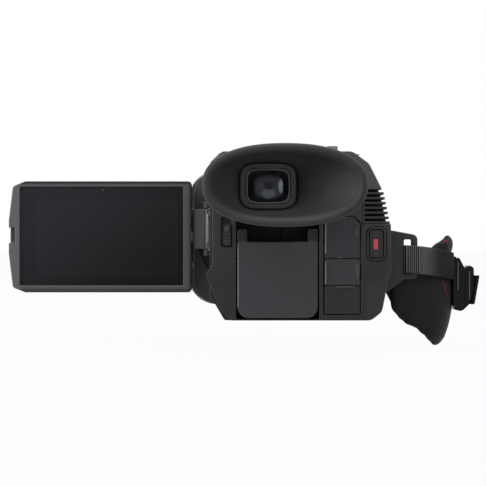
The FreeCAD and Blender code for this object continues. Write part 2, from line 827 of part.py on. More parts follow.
# Rear frame: the battery bay, the port seats, the record button and the battery release.
port_covers = [
    ("port_cover_upper", "upper_cover_bottom", "upper_cover_top"),
    ("port_cover_middle", "middle_cover_bottom", "middle_cover_top"),
    ("port_cover_lower", "lower_cover_bottom", "lower_cover_top"),
]
COVER_FRONT = f"{REAR} + cover_thickness"
port_seat = prism("port_seat", "XZ", f"{REAR} - 1", f"{COVER_FRONT} + cover_gap", [
    ("port_left", "lower_cover_bottom - cover_gap"), ("port_right", "lower_cover_bottom - cover_gap"),
    ("port_right", "upper_cover_top + cover_gap - port_chamfer"),
    ("port_right - port_chamfer", "upper_cover_top + cover_gap"),
    ("port_left", "upper_cover_top + cover_gap")])
port_cavities = [
    block("port_cavity", ("port_left + 2 * cover_lip", "port_right - cover_lip"),
          (REAR, f"{REAR} + port_depth"), (f"{bottom} + cover_lip", f"{top} - cover_lip"))
    for _, bottom, top in port_covers
]
PORT_PIN_X = "port_left + cover_gap + cover_thickness / 2"
PORT_PIN_Y = f"{REAR} + cover_thickness / 2"
PORT_PIN_BOTTOM = "lower_cover_bottom - cover_gap - cover_lip"
PORT_PIN_LENGTH = "upper_cover_top - lower_cover_bottom + 2 * (cover_gap + cover_lip)"


def port_pin(name, radius):
    return cylinder(name, "z", (PORT_PIN_X, PORT_PIN_Y, PORT_PIN_BOTTOM), PORT_PIN_LENGTH, radius)


bezel_seat = round_block("bezel_seat", "XZ", f"{REAR} - 1", f"{REAR} + bezel_depth",
                         "button_left - bezel_rim - button_gap",
                         "button_right + bezel_rim + button_gap",
                         "button_bottom - bezel_rim - button_gap",
                         "button_top + bezel_rim + button_gap", "button_corner + bezel_rim")
release_slot = block("release_slot", ("release_left - cover_gap", "release_right + cover_gap"),
                     (f"{REAR} - 1", f"{REAR} + release_depth + cover_gap"),
                     ("release_bottom - cover_gap", "release_top + release_travel + cover_gap"))
rear_carved = cut("rear_frame_cut", rear_form, battery_bay, evf_slot, port_seat, *port_cavities,
                  bezel_seat, release_slot, vent_recess)
named(fused("rear_frame_form", rear_carved, port_pin("port_pin", "cover_pin_radius")), "rear_frame")

# Front housing round the lens, a soft square tube on the body's front face.
front_tube = round_block("front_tube", "XZ", "body_front", LENS_FRONT, "-front_half_width",
                         "front_half_width", "lens_height - front_half_height",
                         "lens_height + front_half_height", "front_corner")
add_fillet(front_tube, in_plane("y", LENS_FRONT), "front_round")
bell_tunnel = cylinder("bell_tunnel", "y", ("0", "body_front", "lens_height"), "front_length + 1",
                       "bell_radius")
named(cut("front_cover_cut", front_tube, bell_tunnel), "front_cover")

# Base: a steel plate carries the tripod insert, and four feet stand beside it.
base_blank = round_block("base_blank", "XY", "0", "plate_thickness", "plate_left + cover_gap",
                         "plate_right - cover_gap", "plate_rear + cover_gap",
                         "plate_front - cover_gap", "plate_corner")
named(cut("base_plate_cut", base_blank, socket_hole), "base_plate")
insert_blank = cylinder("insert_blank", "z", ("0", "0", "0"), "socket_depth", "socket_radius")
thread_hole = cylinder("thread_hole", "z", ("0", "0", "-1"), "socket_thread_depth + 1",
                       "socket_thread_radius")
named(cut("tripod_socket_cut", insert_blank, thread_hole), "tripod_socket")
foot_places = [(x, y) for x in ("plate_left - foot_inset", "plate_right + foot_inset")
               for y in ("foot_rear", "foot_front")]
named(fused("feet", *[cylinder("foot", "z", (x, y, "0"), "body_floor", "foot_radius")
                      for x, y in foot_places]), "base_feet")

# Lens: a tube and bell through the housing, two lens groups on guide rods, front element, ring.
tube = turned("tube", [
    ("barrel_rear", "barrel_bore"), ("barrel_rear", "barrel_radius"),
    ("body_front", "barrel_radius"), ("body_front", "barrel_bore"),
])
bell = turned("bell", [
    ("body_front + barrel_joint", "barrel_bore"), ("body_front + barrel_joint", "bell_radius"),
    (LENS_FRONT, "bell_radius"), (LENS_FRONT, "collar_radius"),
    (COLLAR_FRONT, "collar_radius"), (COLLAR_FRONT, "bell_bore"),
    ("body_front + bell_floor", "bell_bore"), ("body_front + bell_floor", "barrel_bore"),
])
sensor_form = block("sensor_form", ("-sensor_half_height", "sensor_half_height"),
                    ("barrel_rear - sensor_thickness", "barrel_rear"),
                    ("lens_height - sensor_half_height", "lens_height + sensor_half_height"))
named(sensor_form, "sensor_board")
guide_rods = [cylinder("rod", "y", (x, "barrel_rear", "lens_height"),
                       "body_front + bell_floor - barrel_rear", "guide_rod_radius")
              for x in ("-guide_rod_place", "guide_rod_place")]
named(fused("barrel_form", tube, bell, *guide_rods), "lens_barrel")


def lens_group(name, label, place, length):
    """A lens cell that slides on the two guide rods, with its glass as a bulged core."""
    cell = turned(name, [
        (place, "group_bore"), (place, "barrel_bore - button_gap"),
        (f"{place} + {length}", "barrel_bore - button_gap"), (f"{place} + {length}", "group_bore"),
    ])
    holes = [cylinder(f"{name}_hole", "y", (x, f"{place} - 1", "lens_height"), f"{length} + 2",
                      "guide_rod_radius + running_gap") for x in ("-guide_rod_place",
                                                                  "guide_rod_place")]
    glass = turned(f"{name}_glass", [
        (f"{place} + {length} / 4", "0"), (f"{place} + {length} / 4", "group_bore"),
        (f"{place} + 3 * {length} / 4", "group_bore"), (f"{place} + {length} - 1", "0"),
    ])
    named(fused(f"{name}_form", cut(f"{name}_cut", cell, *holes), glass), label)


lens_group("zoom_cell", "zoom_group", "zoom_group_place", "zoom_group_length")
lens_group("focus_cell", "focus_group", "focus_group_place", "focus_group_length")
ELEMENT_REAR = f"{COLLAR_FRONT} - element_rim - ring_gap"
named(turned("element", [
    (ELEMENT_REAR, "0"), (ELEMENT_REAR, "bell_bore"),
    (f"{ELEMENT_REAR} + element_rim", "bell_bore"), (f"{ELEMENT_REAR} + element_rim", "element_radius"),
    (f"{ELEMENT_REAR} + element_rim + element_shoulder", "element_radius / 2"),
    (f"{ELEMENT_REAR} + element_rim + element_bulge", "0"),
]), "front_element")
named(turned("filter_ring_body", [
    (COLLAR_FRONT, "filter_radius"), (COLLAR_FRONT, "filter_ring_radius"),
    (FILTER_FRONT, "filter_ring_radius"), (FILTER_FRONT, "filter_radius"),
]), "filter_ring")

# Lens ring: one long rib cut, repeated round the axis.
ring = new_body("ring")
ring_sketch = new_sketch(ring, "YZ", "0")
draw_outline(ring_sketch, [
    (RING_REAR, "collar_radius + running_gap"), (RING_REAR, "ring_radius - rib_depth"),
    (f"{RING_REAR} + 2 * rib_depth", "ring_radius"), (f"{RING_FRONT} - 2 * rib_depth", "ring_radius"),
    (RING_FRONT, "ring_radius - rib_depth"), (RING_FRONT, "collar_radius + running_gap"),
])
ring_turn = ring.newObject("PartDesign::Revolution", "Revolution")
ring_turn.Profile = ring_sketch
ring_turn.ReferenceAxis = (origin_of(ring, "Y_Axis"), [""])
doc.recompute()
rib_cut = add_pocket(ring, "XZ", f"{RING_REAR} + 4 * rib_depth", f"{RING_FRONT} - 4 * rib_depth",
                     draw_outline, [
    ("-rib_depth", "ring_radius - rib_depth"), ("rib_depth", "ring_radius - rib_depth"),
    ("rib_depth", "ring_radius + 1"), ("-rib_depth", "ring_radius + 1")])
rib_pattern = ring.newObject("PartDesign::PolarPattern", "Ribs")
rib_pattern.Originals = [rib_cut]
rib_pattern.Axis = (origin_of(ring, "Y_Axis"), [""])
rib_pattern.Angle = 360
bind(rib_pattern, "Occurrences", "ring_ribs")
ring.Tip = rib_pattern
bind(ring, "Placement.Base.z", "lens_height")
doc.recompute()
named(ring, "lens_ring")

# Hood: a soft-cornered tube with a masked mouth; two barrier blades fold against its walls.


def hood_section(scale):
    return (f"-{scale} * hood_half_width", f"{scale} * hood_half_width",
            f"lens_height - {scale} * hood_half_height", f"lens_height + {scale} * hood_half_height",
            f"{scale} * hood_corner")


hood_form = lofted("hood_form", [(HOOD_REAR, hood_section("hood_rear_scale")),
                                 (HOOD_FRONT, hood_section("1"))])
MASK_REAR = f"{HOOD_FRONT} - hood_mask"
hood_bore = cylinder("hood_bore", "y", ("0", f"{HOOD_REAR} - 1", "lens_height"),
                     f"{CAVITY_REAR} - ({HOOD_REAR}) + 2", "filter_ring_radius")
hood_cavity = round_block("hood_cavity", "XZ", CAVITY_REAR, MASK_REAR, "-hood_cavity_half_width",
                          "hood_cavity_half_width", "lens_height - hood_cavity_half_height",
                          "lens_height + hood_cavity_half_height", "hood_cavity_corner")
hood_mouth = lofted("hood_mouth", [
    (f"{MASK_REAR} - 1", ("-mask_half_width", "mask_half_width", "lens_height - mask_half_height",
                          "lens_height + mask_half_height", "hood_cavity_corner")),
    (f"{HOOD_FRONT} + 1", ("-mask_half_width - mask_flare", "mask_half_width + mask_flare",
                           "lens_height - mask_half_height - mask_flare",
                           "lens_height + mask_half_height + mask_flare",
                           "hood_cavity_corner + mask_flare"))])
BLADE_SIDE = "(hood_cavity_half_width - blade_side_gap)"
PIVOT_Y = f"{MASK_REAR} - blade_pivot_setback"
LEVER_Y = f"{CAVITY_REAR} + lever_width"
lever_slot = block("lever_slot", ("-hood_half_width - 1", "-hood_cavity_half_width + 1"),
                   (f"{LEVER_Y} - lever_width / 2 - button_gap", f"{LEVER_Y} + lever_width / 2 + button_gap"),
                   ("lens_height - lever_height / 2 - button_gap",
                    "lens_height + lever_height / 2 + barrier_travel + button_gap"))
pin_holes = [
    cylinder("pin_hole", "x", (f"-{BLADE_SIDE} - blade_pin_length", PIVOT_Y, height),
             f"2 * ({BLADE_SIDE} + blade_pin_length)", "blade_pin_radius + running_gap")
    for height in ("lens_height - blade_pivot_height", "lens_height + blade_pivot_height")
]
named(cut("hood_cut", hood_form, hood_bore, hood_cavity, hood_mouth, lever_slot, *pin_holes), "hood")


# A blade meets its twin half way up the mouth, and parks within the cavity.
BLADE_REACH = f"min(blade_pivot_height - cover_gap; {PIVOT_Y} - ({CAVITY_REAR}) - cover_gap)"


def barrier_blade(name, height):
    """A blade folded back along the cavity wall, on a pin that ends in both side walls."""
    leaf = block(f"{name}_leaf", (f"-{BLADE_SIDE}", BLADE_SIDE),
                 (f"{PIVOT_Y} - {BLADE_REACH}", PIVOT_Y),
                 (f"{height} - blade_thickness / 2", f"{height} + blade_thickness / 2"))
    pin = cylinder(f"{name}_pin", "x", (f"cover_gap - {BLADE_SIDE} - blade_pin_length", PIVOT_Y,
                                        height),
                   f"2 * ({BLADE_SIDE} + blade_pin_length - cover_gap)", "blade_pin_radius")
    named(fused(f"{name}_form", leaf, pin), name)


barrier_blade("barrier_upper", "lens_height + blade_pivot_height")
barrier_blade("barrier_lower", "lens_height - blade_pivot_height")
LEVER_SEAT = "-hood_half_width * (1 + hood_rear_scale) / 2 - button_gap"
lever_knob = block("lever_knob", ("-hood_half_width - lever_proud", LEVER_SEAT),
                   (f"{LEVER_Y} - lever_width", f"{LEVER_Y} + lever_width"),
                   ("lens_height - lever_height / 2", "lens_height + lever_height / 2"))
lever_stem = block("lever_stem", (LEVER_SEAT, "button_gap - hood_cavity_half_width + lever_flange"),
                   (f"{LEVER_Y} - lever_width / 2", f"{LEVER_Y} + lever_width / 2"),
                   ("lens_height - lever_height / 2", "lens_height + lever_height / 2"))
lever_keeper = block("lever_keeper", ("button_gap - hood_cavity_half_width",
                                      "button_gap - hood_cavity_half_width + lever_flange"),
                     (f"{LEVER_Y} - lever_keeper_half", f"{LEVER_Y} + lever_keeper_half"),
                     ("lens_height - lever_height / 2", "lens_height + lever_height / 2"))
named(fused("lever_form", lever_knob, lever_stem, lever_keeper), "barrier_lever")

# Viewfinder: a slim block with a round nose on its hinge pin, hollow behind the window.
evf_bar = block("evf_bar", (EVF_LEFT, EVF_RIGHT), ("evf_rear", "evf_pivot"),
                (EVF_BOTTOM, "evf_height + evf_half_height"))
evf_nose = cylinder("evf_nose", "x", (EVF_LEFT, "evf_pivot", "evf_height"),
                    "2 * evf_half_width", "evf_half_height")
evf_pin_bore = cylinder("evf_pin_bore", "x", (f"{EVF_LEFT} - 1", "evf_pivot", "evf_height"),
                        "2 * evf_half_width + 2", "evf_pin_radius + running_gap")
evf_bore = round_block("evf_bore", "XZ", "evf_rear - 1", "evf_rear + evf_bore_depth",
                       "evf_centre - evf_bore_half_width", "evf_centre + evf_bore_half_width",
                       "evf_height - evf_bore_half_height", "evf_height + evf_bore_half_height",
                       "button_corner")
DIOPTRE_Y = "evf_rear + dioptre_setback"
dioptre_slot = block("dioptre_slot",
                     ("evf_centre - dioptre_half_length - dioptre_travel - button_gap",
                      "evf_centre + dioptre_half_length + dioptre_travel + button_gap"),
                     (f"{DIOPTRE_Y} - button_gap", f"{DIOPTRE_Y} + dioptre_depth + button_gap"),
                     (f"{EVF_BOTTOM} - 1", f"{EVF_BOTTOM} + dioptre_root + button_gap"))
named(cut("evf_cut", fused("evf_form", evf_bar, evf_nose), evf_pin_bore, evf_bore, dioptre_slot),
      "evf_housing")
named(cylinder("evf_pin", "x", (EVF_PIN_LEFT, "evf_pivot", "evf_height"), EVF_PIN_LENGTH,
               "evf_pin_radius"), "evf_hinge_pin")
named(block("dioptre_knob",
            ("evf_centre - dioptre_half_length", "evf_centre + dioptre_half_length"),
            (DIOPTRE_Y, f"{DIOPTRE_Y} + dioptre_depth"),
            (f"{EVF_BOTTOM} - dioptre_proud", f"{EVF_BOTTOM} + dioptre_root")), "dioptre_lever")
FRAME_REAR = "evf_rear - frame_thickness"
frame_blank = round_block("frame_blank", "XZ", FRAME_REAR, "evf_rear",
                          "evf_centre - frame_half_width", "evf_centre + frame_half_width",
                          "evf_height - frame_half_height", "evf_height + frame_half_height",
                          "frame_corner")
frame_mouth = round_block("frame_mouth", "XZ", f"{FRAME_REAR} - 1", "evf_rear + 1",
                          "evf_centre - window_half_width", "evf_centre + window_half_width",
                          "evf_height - window_half_height", "evf_height + window_half_height",
                          "window_corner")
named(cut("frame_cut", frame_blank, frame_mouth), "eyepiece_frame")
named(round_block("window_pane", "XZ", "evf_rear - window_thickness", "evf_rear",
                  "evf_centre - window_half_width", "evf_centre + window_half_width",
                  "evf_height - window_half_height", "evf_height + window_half_height",
                  "window_corner"), "evf_window")
named(round_block("evf_display_form", "XZ", "evf_rear + evf_bore_depth - window_thickness",
                  "evf_rear + evf_bore_depth", "evf_centre - evf_bore_half_width",
                  "evf_centre + evf_bore_half_width", "evf_height - evf_bore_half_height",
                  "evf_height + evf_bore_half_height", "button_corner"), "evf_display")


WAIST_CENTRE = "((1 - eyecup_waist_share) * evf_centre + eyecup_waist_share * eyecup_centre)"


def cup_section(grow):
    """The eyecup's sections from the eyepiece frame out to the rim, grown by a wall."""
    def around(place, centre, level, half_width, half_height, corner):
        return place, (f"{centre} - {half_width} - {grow}", f"{centre} + {half_width} + {grow}",
                       f"{level} - {half_height} - {grow}", f"{level} + {half_height} + {grow}",
                       f"{corner} + {grow}")
    return [
        around("eyecup_rear", "eyecup_centre", "eyecup_rim_height",
               "eyecup_half_width", "eyecup_half_height", "eyecup_corner"),
        around("eyecup_waist", WAIST_CENTRE, "evf_height",
               "eyecup_waist_half_width", "eyecup_waist_half_height", "eyecup_waist_corner"),
        around("evf_rear", "evf_centre", "evf_height",
               "frame_half_width + eyecup_seat_gap", "frame_half_height + eyecup_seat_gap",
               "frame_corner"),
    ]


cup_outside = lofted("cup_outside", cup_section("0"))
cup_inside = lofted("cup_inside", [
    (f"{place} - 1" if place == "eyecup_rear" else place, shape)
    for place, shape in cup_section("(0 - eyecup_wall)")])
cup_bore = round_block("cup_bore", "XZ", f"{FRAME_REAR} - 3 * eyecup_wall", "evf_rear + 1",
                       "evf_centre - frame_half_width", "evf_centre + frame_half_width",
                       "evf_height - frame_half_height", "evf_height + frame_half_height",
                       "frame_corner")
named(cut("cup_cut", cup_outside, cup_inside, cup_bore), "eyecup")

# Screen: the arm turns on a vertical pin in the housing lugs and carries the tilt shaft.
ARM_REAR = "tilt_axis_y - panel_thickness / 2 + arm_step"
ARM_FRONT = "tilt_axis_y + panel_thickness / 2 - arm_step"
arm_block = prism("arm_block", "XY", "hinge_bottom", "hinge_top", [
    ("hinge_left", ARM_REAR), ("swing_axis_x", "swing_axis_y - barrel_outer / 4"),
    ("swing_axis_x + barrel_outer / 4", "swing_axis_y"),
    (f"{LEFT} - hinge_gap", f"{ARM_REAR} + arm_step"), (f"{LEFT} - hinge_gap - arm_step", ARM_FRONT),
    ("hinge_left", ARM_FRONT)], [((4, 5), "arm_step")])
arm_barrel = cylinder("arm_barrel", "z", ("swing_axis_x", "swing_axis_y", "hinge_bottom"),
                      "hinge_top - hinge_bottom", "barrel_outer")
arm_bore = cylinder("arm_bore", "z", ("swing_axis_x", "swing_axis_y", "hinge_bottom - 1"),
                    "hinge_top - hinge_bottom + 2", "swing_pin_radius + running_gap")
arm_shaft_hole = cylinder("arm_shaft_hole", "x", ("hinge_left - 1", "tilt_axis_y", "tilt_axis_z"),
                          "1 + shaft_seat", "tilt_shaft_radius")
named(cut("arm_cut", fused("arm_form", arm_block, arm_barrel), arm_bore, arm_shaft_hole),
      "lcd_hinge_block")
named(cylinder("swing_pin", "z", ("swing_axis_x", "swing_axis_y", LUG_BOTTOM),
               f"{LUG_TOP} - ({LUG_BOTTOM})", "swing_pin_radius"), "lcd_hinge_pin")
named(cylinder("tilt_shaft", "x", ("panel_right - tilt_shaft_depth", "tilt_axis_y", "tilt_axis_z"),
               "hinge_left - panel_right + tilt_shaft_depth + shaft_seat", "tilt_shaft_radius"),
      "lcd_tilt_shaft")

# Panel: a moulded back with a bulged finger edge, a thin bezel and the glass.
PANEL_REAR = "tilt_axis_y - panel_thickness / 2"
PANEL_FRONT = "tilt_axis_y + panel_thickness / 2"
PANEL_MIDDLE = "(panel_bottom + panel_top) / 2"
panel_corners = [
    ("panel_left + panel_chamfer", "panel_bottom"), ("panel_right", "panel_bottom"),
    ("panel_right", "panel_top"), ("panel_left + panel_chamfer", "panel_top"),
    ("panel_left + panel_bulge", "panel_top - panel_cheek"),
    ("panel_left", f"{PANEL_MIDDLE} + panel_chamfer"), ("panel_left", f"{PANEL_MIDDLE} - panel_chamfer"),
    ("panel_left + panel_bulge", "panel_bottom + panel_cheek"),
]
BEZEL_FRONT = f"{PANEL_REAR} + bezel_thickness"


def panel_plate(name, low, high):
    return prism(name, "XZ", low, high, panel_corners,
                 [((0, 3, 4, 7), "panel_bulge"), ((1, 2), "panel_round")])


back_form = panel_plate("back_form", BEZEL_FRONT, PANEL_FRONT)
add_fillet(back_form, in_plane("y", PANEL_FRONT), "panel_round")
finger_notch = block("finger_notch", ("panel_left - 1", "panel_left + notch_depth"),
                     (f"{PANEL_REAR} - 1", f"{PANEL_FRONT} - panel_round"), ("notch_bottom", "notch_top"))
tilt_bore = cylinder("tilt_bore", "x", ("panel_right - tilt_shaft_depth - 1", "tilt_axis_y",
                                        "tilt_axis_z"),
                     "tilt_shaft_depth + 2", "tilt_shaft_radius + running_gap")
named(cut("back_cut", back_form, finger_notch, tilt_bore), "lcd_back_shell")
bezel_form = panel_plate("bezel_form", PANEL_REAR, BEZEL_FRONT)
glass_seat = block("glass_seat", ("glass_left", "glass_right"), (f"{PANEL_REAR} - 1", f"{BEZEL_FRONT} + 1"),
                   ("glass_bottom", "glass_top"))
named(cut("bezel_cut", bezel_form, finger_notch, glass_seat), "lcd_bezel")
named(block("glass_pane", ("glass_left", "glass_right"), (f"{BEZEL_FRONT} - glass_thickness", BEZEL_FRONT),
            ("glass_bottom", "glass_top")), "lcd_glass")

# Battery with two rail ears and its sliding lift, the contact block and the release slider.
battery_form = prism("battery_form", "XZ", REAR, f"{REAR} + battery_depth", [
    ("battery_left", "battery_bottom"), ("battery_right", "battery_bottom"),
    ("battery_right", "battery_top + ear_rise"), ("battery_right - ear_width", "battery_top + ear_rise"),
    ("battery_right - ear_width", "battery_top"), ("battery_left + ear_width", "battery_top"),
    ("battery_left + ear_width", "battery_top + ear_rise"), ("battery_left", "battery_top + ear_rise")],
    [((0, 1), "battery_corner"), ((2, 3, 6, 7), "ear_round")])
add_fillet(battery_form, in_plane("y", REAR), "bay_gap")
named(battery_form, "battery_pack")
named(block("terminal_form", ("battery_left + terminal_inset", "battery_right - terminal_inset"),
            (f"{REAR} + battery_depth + button_gap", BAY_FRONT),
            ("battery_bottom + terminal_inset / 2", "battery_top - terminal_inset / 2")),
      "battery_terminal")
named(block("release_form", ("release_left", "release_right"),
            (f"{REAR} - release_proud", f"{REAR} + release_depth"), ("release_bottom", "release_top")),
      "battery_release")

# Port covers on one common pin, with finger tabs, and a metal socket behind each.
COVER_RIGHT = "port_right - cover_gap"
side_tab = (f"{COVER_RIGHT} - tab_width", COVER_RIGHT)
cover_tabs = {
    "port_cover_upper": (side_tab, ("upper_tab_bottom", "upper_tab_bottom + tab_length")),
    "port_cover_middle": (side_tab, ("middle_tab_bottom", "middle_tab_bottom + tab_length")),
    "port_cover_lower": (("lower_tab_left", "lower_tab_left + tab_length"),
                         ("lower_cover_top - tab_width", "lower_cover_top")),
}
for label, bottom, top in port_covers:
    corner = "port_chamfer" if label == "port_cover_upper" else "tab_proud"
    plate = prism(f"{label}_plate", "XZ", REAR, COVER_FRONT, [
        (PORT_PIN_X, bottom), (COVER_RIGHT, bottom), (COVER_RIGHT, f"{top} - {corner}"),
        (f"{COVER_RIGHT} - {corner}", top), (PORT_PIN_X, top)])
    tab = block(f"{label}_tab", cover_tabs[label][0], (f"{REAR} - tab_proud", REAR), cover_tabs[label][1])
    knuckle = cylinder(f"{label}_knuckle", "z", (PORT_PIN_X, PORT_PIN_Y, bottom), f"{top} - ({bottom})",
                       "cover_thickness / 2")
    plug = block(f"{label}_plug", ("port_left + plug_hinge_inset", "port_right - plug_inset"),
                 (COVER_FRONT, f"{COVER_FRONT} + plug_depth"),
                 (f"{bottom} + plug_inset", f"{top} - plug_inset"))
    bore = port_pin(f"{label}_bore", "cover_pin_radius + running_gap")
    named(cut(f"{label}_cut", fused(f"{label}_form", plate, tab, knuckle, plug), bore), label)
    socket = block(f"{label}_socket", ("port_left + socket_hinge_inset", "port_right - plug_inset"),
                   (f"{COVER_FRONT} + plug_inset", f"{REAR} + port_depth"),
                   (f"{bottom} + socket_inset", f"{top} - socket_inset"))
    mouth = block(f"{label}_mouth", ("port_left + socket_hinge_inset + socket_wall",
                                     "port_right - plug_inset - socket_wall"),
                  (f"{COVER_FRONT} + plug_depth", f"{REAR} + port_depth - 1"),
                  (f"{bottom} + socket_inset + socket_wall", f"{top} - socket_inset - socket_wall"))
    named(cut(f"{label}_shell", socket, mouth), label.replace("cover", "socket"))

# Record button in its raised bezel.
bezel_ring = round_block("bezel_ring", "XZ", f"{REAR} - bezel_proud", f"{REAR} + bezel_depth",
                         "button_left - bezel_rim - button_gap", "button_right + bezel_rim + button_gap",
                         "button_bottom - bezel_rim - button_gap", "button_top + bezel_rim + button_gap",
                         "button_corner + bezel_rim")
bezel_mouth = round_block("bezel_mouth", "XZ", f"{REAR} - bezel_proud - 1",
                          f"{REAR} + bezel_depth - bezel_rim", "button_left - button_gap",
                          "button_right + button_gap", "button_bottom - button_gap",
                          "button_top + button_gap", "button_corner")
named(cut("bezel_cut_rear", bezel_ring, bezel_mouth), "start_stop_bezel")
named(round_block("record_form", "XZ", f"{REAR} - bezel_proud",
                  f"{REAR} + bezel_depth - bezel_rim - button_travel - button_gap",
                  "button_left", "button_right", "button_bottom", "button_top",
                  "button_corner - button_gap"), "start_stop_button")

# Air outlet: a stack of fins that follows the slope of the grip's waist.
fins = []
for number in range(int(SIZES["vent_count"])):
    low = f"vent_bottom + {number} * vent_pitch"
    slope = f"({number} + 0.5) * grip_waist_depth / vent_count"
    fin = prism("fin", "XY", low, f"{low} + vent_fin", [
        (f"{RIGHT} - vent_inset", REAR), (f"{RIGHT} - {slope}", REAR),
        (f"{RIGHT} - {slope}", f"{REAR} + vent_depth"),
        (f"{RIGHT} - vent_inset", f"{REAR} + vent_depth")], [((1,), "vent_corner")])
    fins.append(fin)
fin_back = block("fin_back", (f"{RIGHT} - vent_inset", f"{RIGHT} - vent_inset + vent_fin"),
                 (REAR, f"{REAR} + vent_depth"), ("vent_bottom", "vent_bottom + vent_count * vent_pitch"))
named(fused("vent_stack", fin_back, *fins), "vent_fins")

# Grip top: the zoom rocker on its pin and the photo button.
ROCKER_BASE = "body_top - rocker_sink"
rocker_form = prism("rocker_form", "YZ", "rocker_x - rocker_half_width", "rocker_x + rocker_half_width", [
    ("rocker_y - rocker_half_length", f"{ROCKER_BASE} - rocker_skirt"),
    ("rocker_y", f"{ROCKER_Z} - rocker_pivot / 2"),
    ("rocker_y + rocker_half_length", f"{ROCKER_BASE} - rocker_skirt"),
    ("rocker_y + rocker_half_length", f"{ROCKER_BASE} + rocker_rise"),
    ("rocker_y + rocker_half_length / 3", f"{ROCKER_BASE} + rocker_rise / 2"),
    ("rocker_y - rocker_half_length / 3", f"{ROCKER_BASE} + rocker_rise / 2"),
    ("rocker_y - rocker_half_length", f"{ROCKER_BASE} + rocker_rise")],
    [((4, 5), "rocker_half_length"), ((3, 6), "rocker_skirt")])
rocker_bore = cylinder("rocker_bore", "x", ("rocker_x - rocker_half_width - 1", "rocker_y", ROCKER_Z),
                       "2 * rocker_half_width + 2", "cover_pin_radius + running_gap")
named(cut("rocker_cut", rocker_form, rocker_bore), "zoom_rocker")
named(cylinder("photo_form", "z", ("rocker_x", "photo_button_y", f"{ROCKER_FLOOR} + 2 * top_button_travel"),
               "rocker_well - top_button_travel", "photo_button_radius"), "photo_button")

# Accessory shoe: an open channel under two lips.
SHOE_TOP = "body_top + shoe_floor + shoe_slot_height + shoe_lip"
SHOE_LEDGE = "body_top + shoe_floor + shoe_slot_height"
shoe_right_side = [
    ("shoe_half_width", "body_top"), ("shoe_half_width", SHOE_TOP),
    ("shoe_lip_opening", SHOE_TOP), ("shoe_lip_opening", SHOE_LEDGE),
    ("shoe_slot_half_width", SHOE_LEDGE), ("shoe_slot_half_width", "body_top + shoe_floor"),
]
shoe_corners = [(f"shoe_centre + {x}", z) for x, z in shoe_right_side]
shoe_corners += [(f"shoe_centre - {x}", z) for x, z in reversed(shoe_right_side)]
named(prism("shoe_form", "XZ", "shoe_front - shoe_length", "shoe_front", shoe_corners,
            [((1, 10), "shoe_round")]), "accessory_shoe")

# Screen-side bay: three press buttons, the mode slider and the card door on its pin.
for number, place in enumerate(bay_button_places, start=1):
    named(cylinder("bay_button", "x", (f"{LEFT} - bay_button_proud", place, "bay_button_height"),
                   f"{BUTTON_DEEP} - bay_button_travel", "bay_button_radius"), f"bay_button_{number}")
named(block("switch_form", (f"{LEFT} - bay_button_proud", f"{LEFT} + switch_depth"),
            ("switch_y - switch_half_length", "switch_y + switch_half_length"),
            (f"{SWITCH_Z} - switch_half_height", f"{SWITCH_Z} + switch_half_height")), "mode_switch")
door_plate = block("door_plate", (LEFT, f"{LEFT} + card_door_thickness"),
                   ("card_door_rear", "card_door_front"),
                   ("card_door_bottom + card_door_thickness / 2", "card_door_top"))
door_knuckle = cylinder("door_knuckle", "y", (DOOR_PIN[0], "card_door_rear", DOOR_PIN[2]),
                        "card_door_front - card_door_rear", "card_door_thickness / 2")
door_bore = cylinder("door_bore", "y", (DOOR_PIN[0], "card_door_rear - 1", DOOR_PIN[2]),
                     "card_door_front - card_door_rear + 2", "cover_pin_radius + running_gap")
named(cut("door_cut", fused("door_form", door_plate, door_knuckle), door_bore), "card_door")

# Hand strap: slotted brackets trimmed to the grip, a soft curved pad, webbing and buckle.


def strap_bracket(label, place, reach):
    """A slotted plate across the strap's line, cut back to the face of the grip."""
    plate = prism(f"{label}_plate", "XZ", place, f"{place} + bracket_thickness", [
        ("bracket_root", "bracket_bottom - bracket_web_drop"),
        (f"{reach} - bracket_web_start", "bracket_bottom - bracket_web_drop"),
        (f"{reach} - bracket_web_end", "bracket_bottom"), (reach, "bracket_bottom"),
        (reach, "bracket_top - bracket_slope"), (f"{reach} - bracket_run", "bracket_top"),
        ("bracket_root", "bracket_top")], [((3, 4), "bracket_corner")])
    opening = block(f"{label}_opening", (f"{reach} - bracket_rim - bracket_slot", f"{reach} - bracket_rim"),
                    (f"{place} - 1", f"{place} + bracket_thickness + 1"), ("slot_bottom", "slot_top"))
    named(cut(f"{label}_cut", plate, opening, housing), label)


strap_bracket("strap_bracket_rear", "strap_rear", "bracket_reach")
strap_bracket("strap_bracket_front", "strap_front", "bracket_front_reach")


# The pad bows out from bracket to bracket, and its bends keep within its flat middle.
BEND_ROOM = ("(pad_front - pad_rear - 2 * pad_shoulder)"
             " / (tan(atan((pad_outer - pad_rear_start) / pad_shoulder) / 2)"
             " + tan(atan((pad_outer - pad_front_start) / pad_shoulder) / 2)) - cover_gap")
INNER_START = "pad_start_share * pad_thickness"
INNER_END = "pad_end_share * pad_thickness"
INNER_SHOULDER = "pad_shoulder_share * pad_thickness"
pad_band = prism("pad_band", "XY", "pad_bottom", "pad_top", [
    ("pad_rear_start", "pad_rear"), ("pad_outer", "pad_rear + pad_shoulder"),
    ("pad_outer", "pad_front - pad_shoulder"), ("pad_front_start", "pad_front"),
    (f"pad_front_start - {INNER_START}", f"pad_front - {INNER_END}"),
    ("pad_outer - pad_thickness", f"pad_front - pad_shoulder - {INNER_SHOULDER}"),
    ("pad_outer - pad_thickness", f"pad_rear + pad_shoulder + {INNER_SHOULDER}"),
    (f"pad_rear_start - {INNER_START}", f"pad_rear + {INNER_END}"),
], [((1, 2), f"min(pad_bend + pad_thickness; {BEND_ROOM})"), ((5, 6), "pad_bend")])
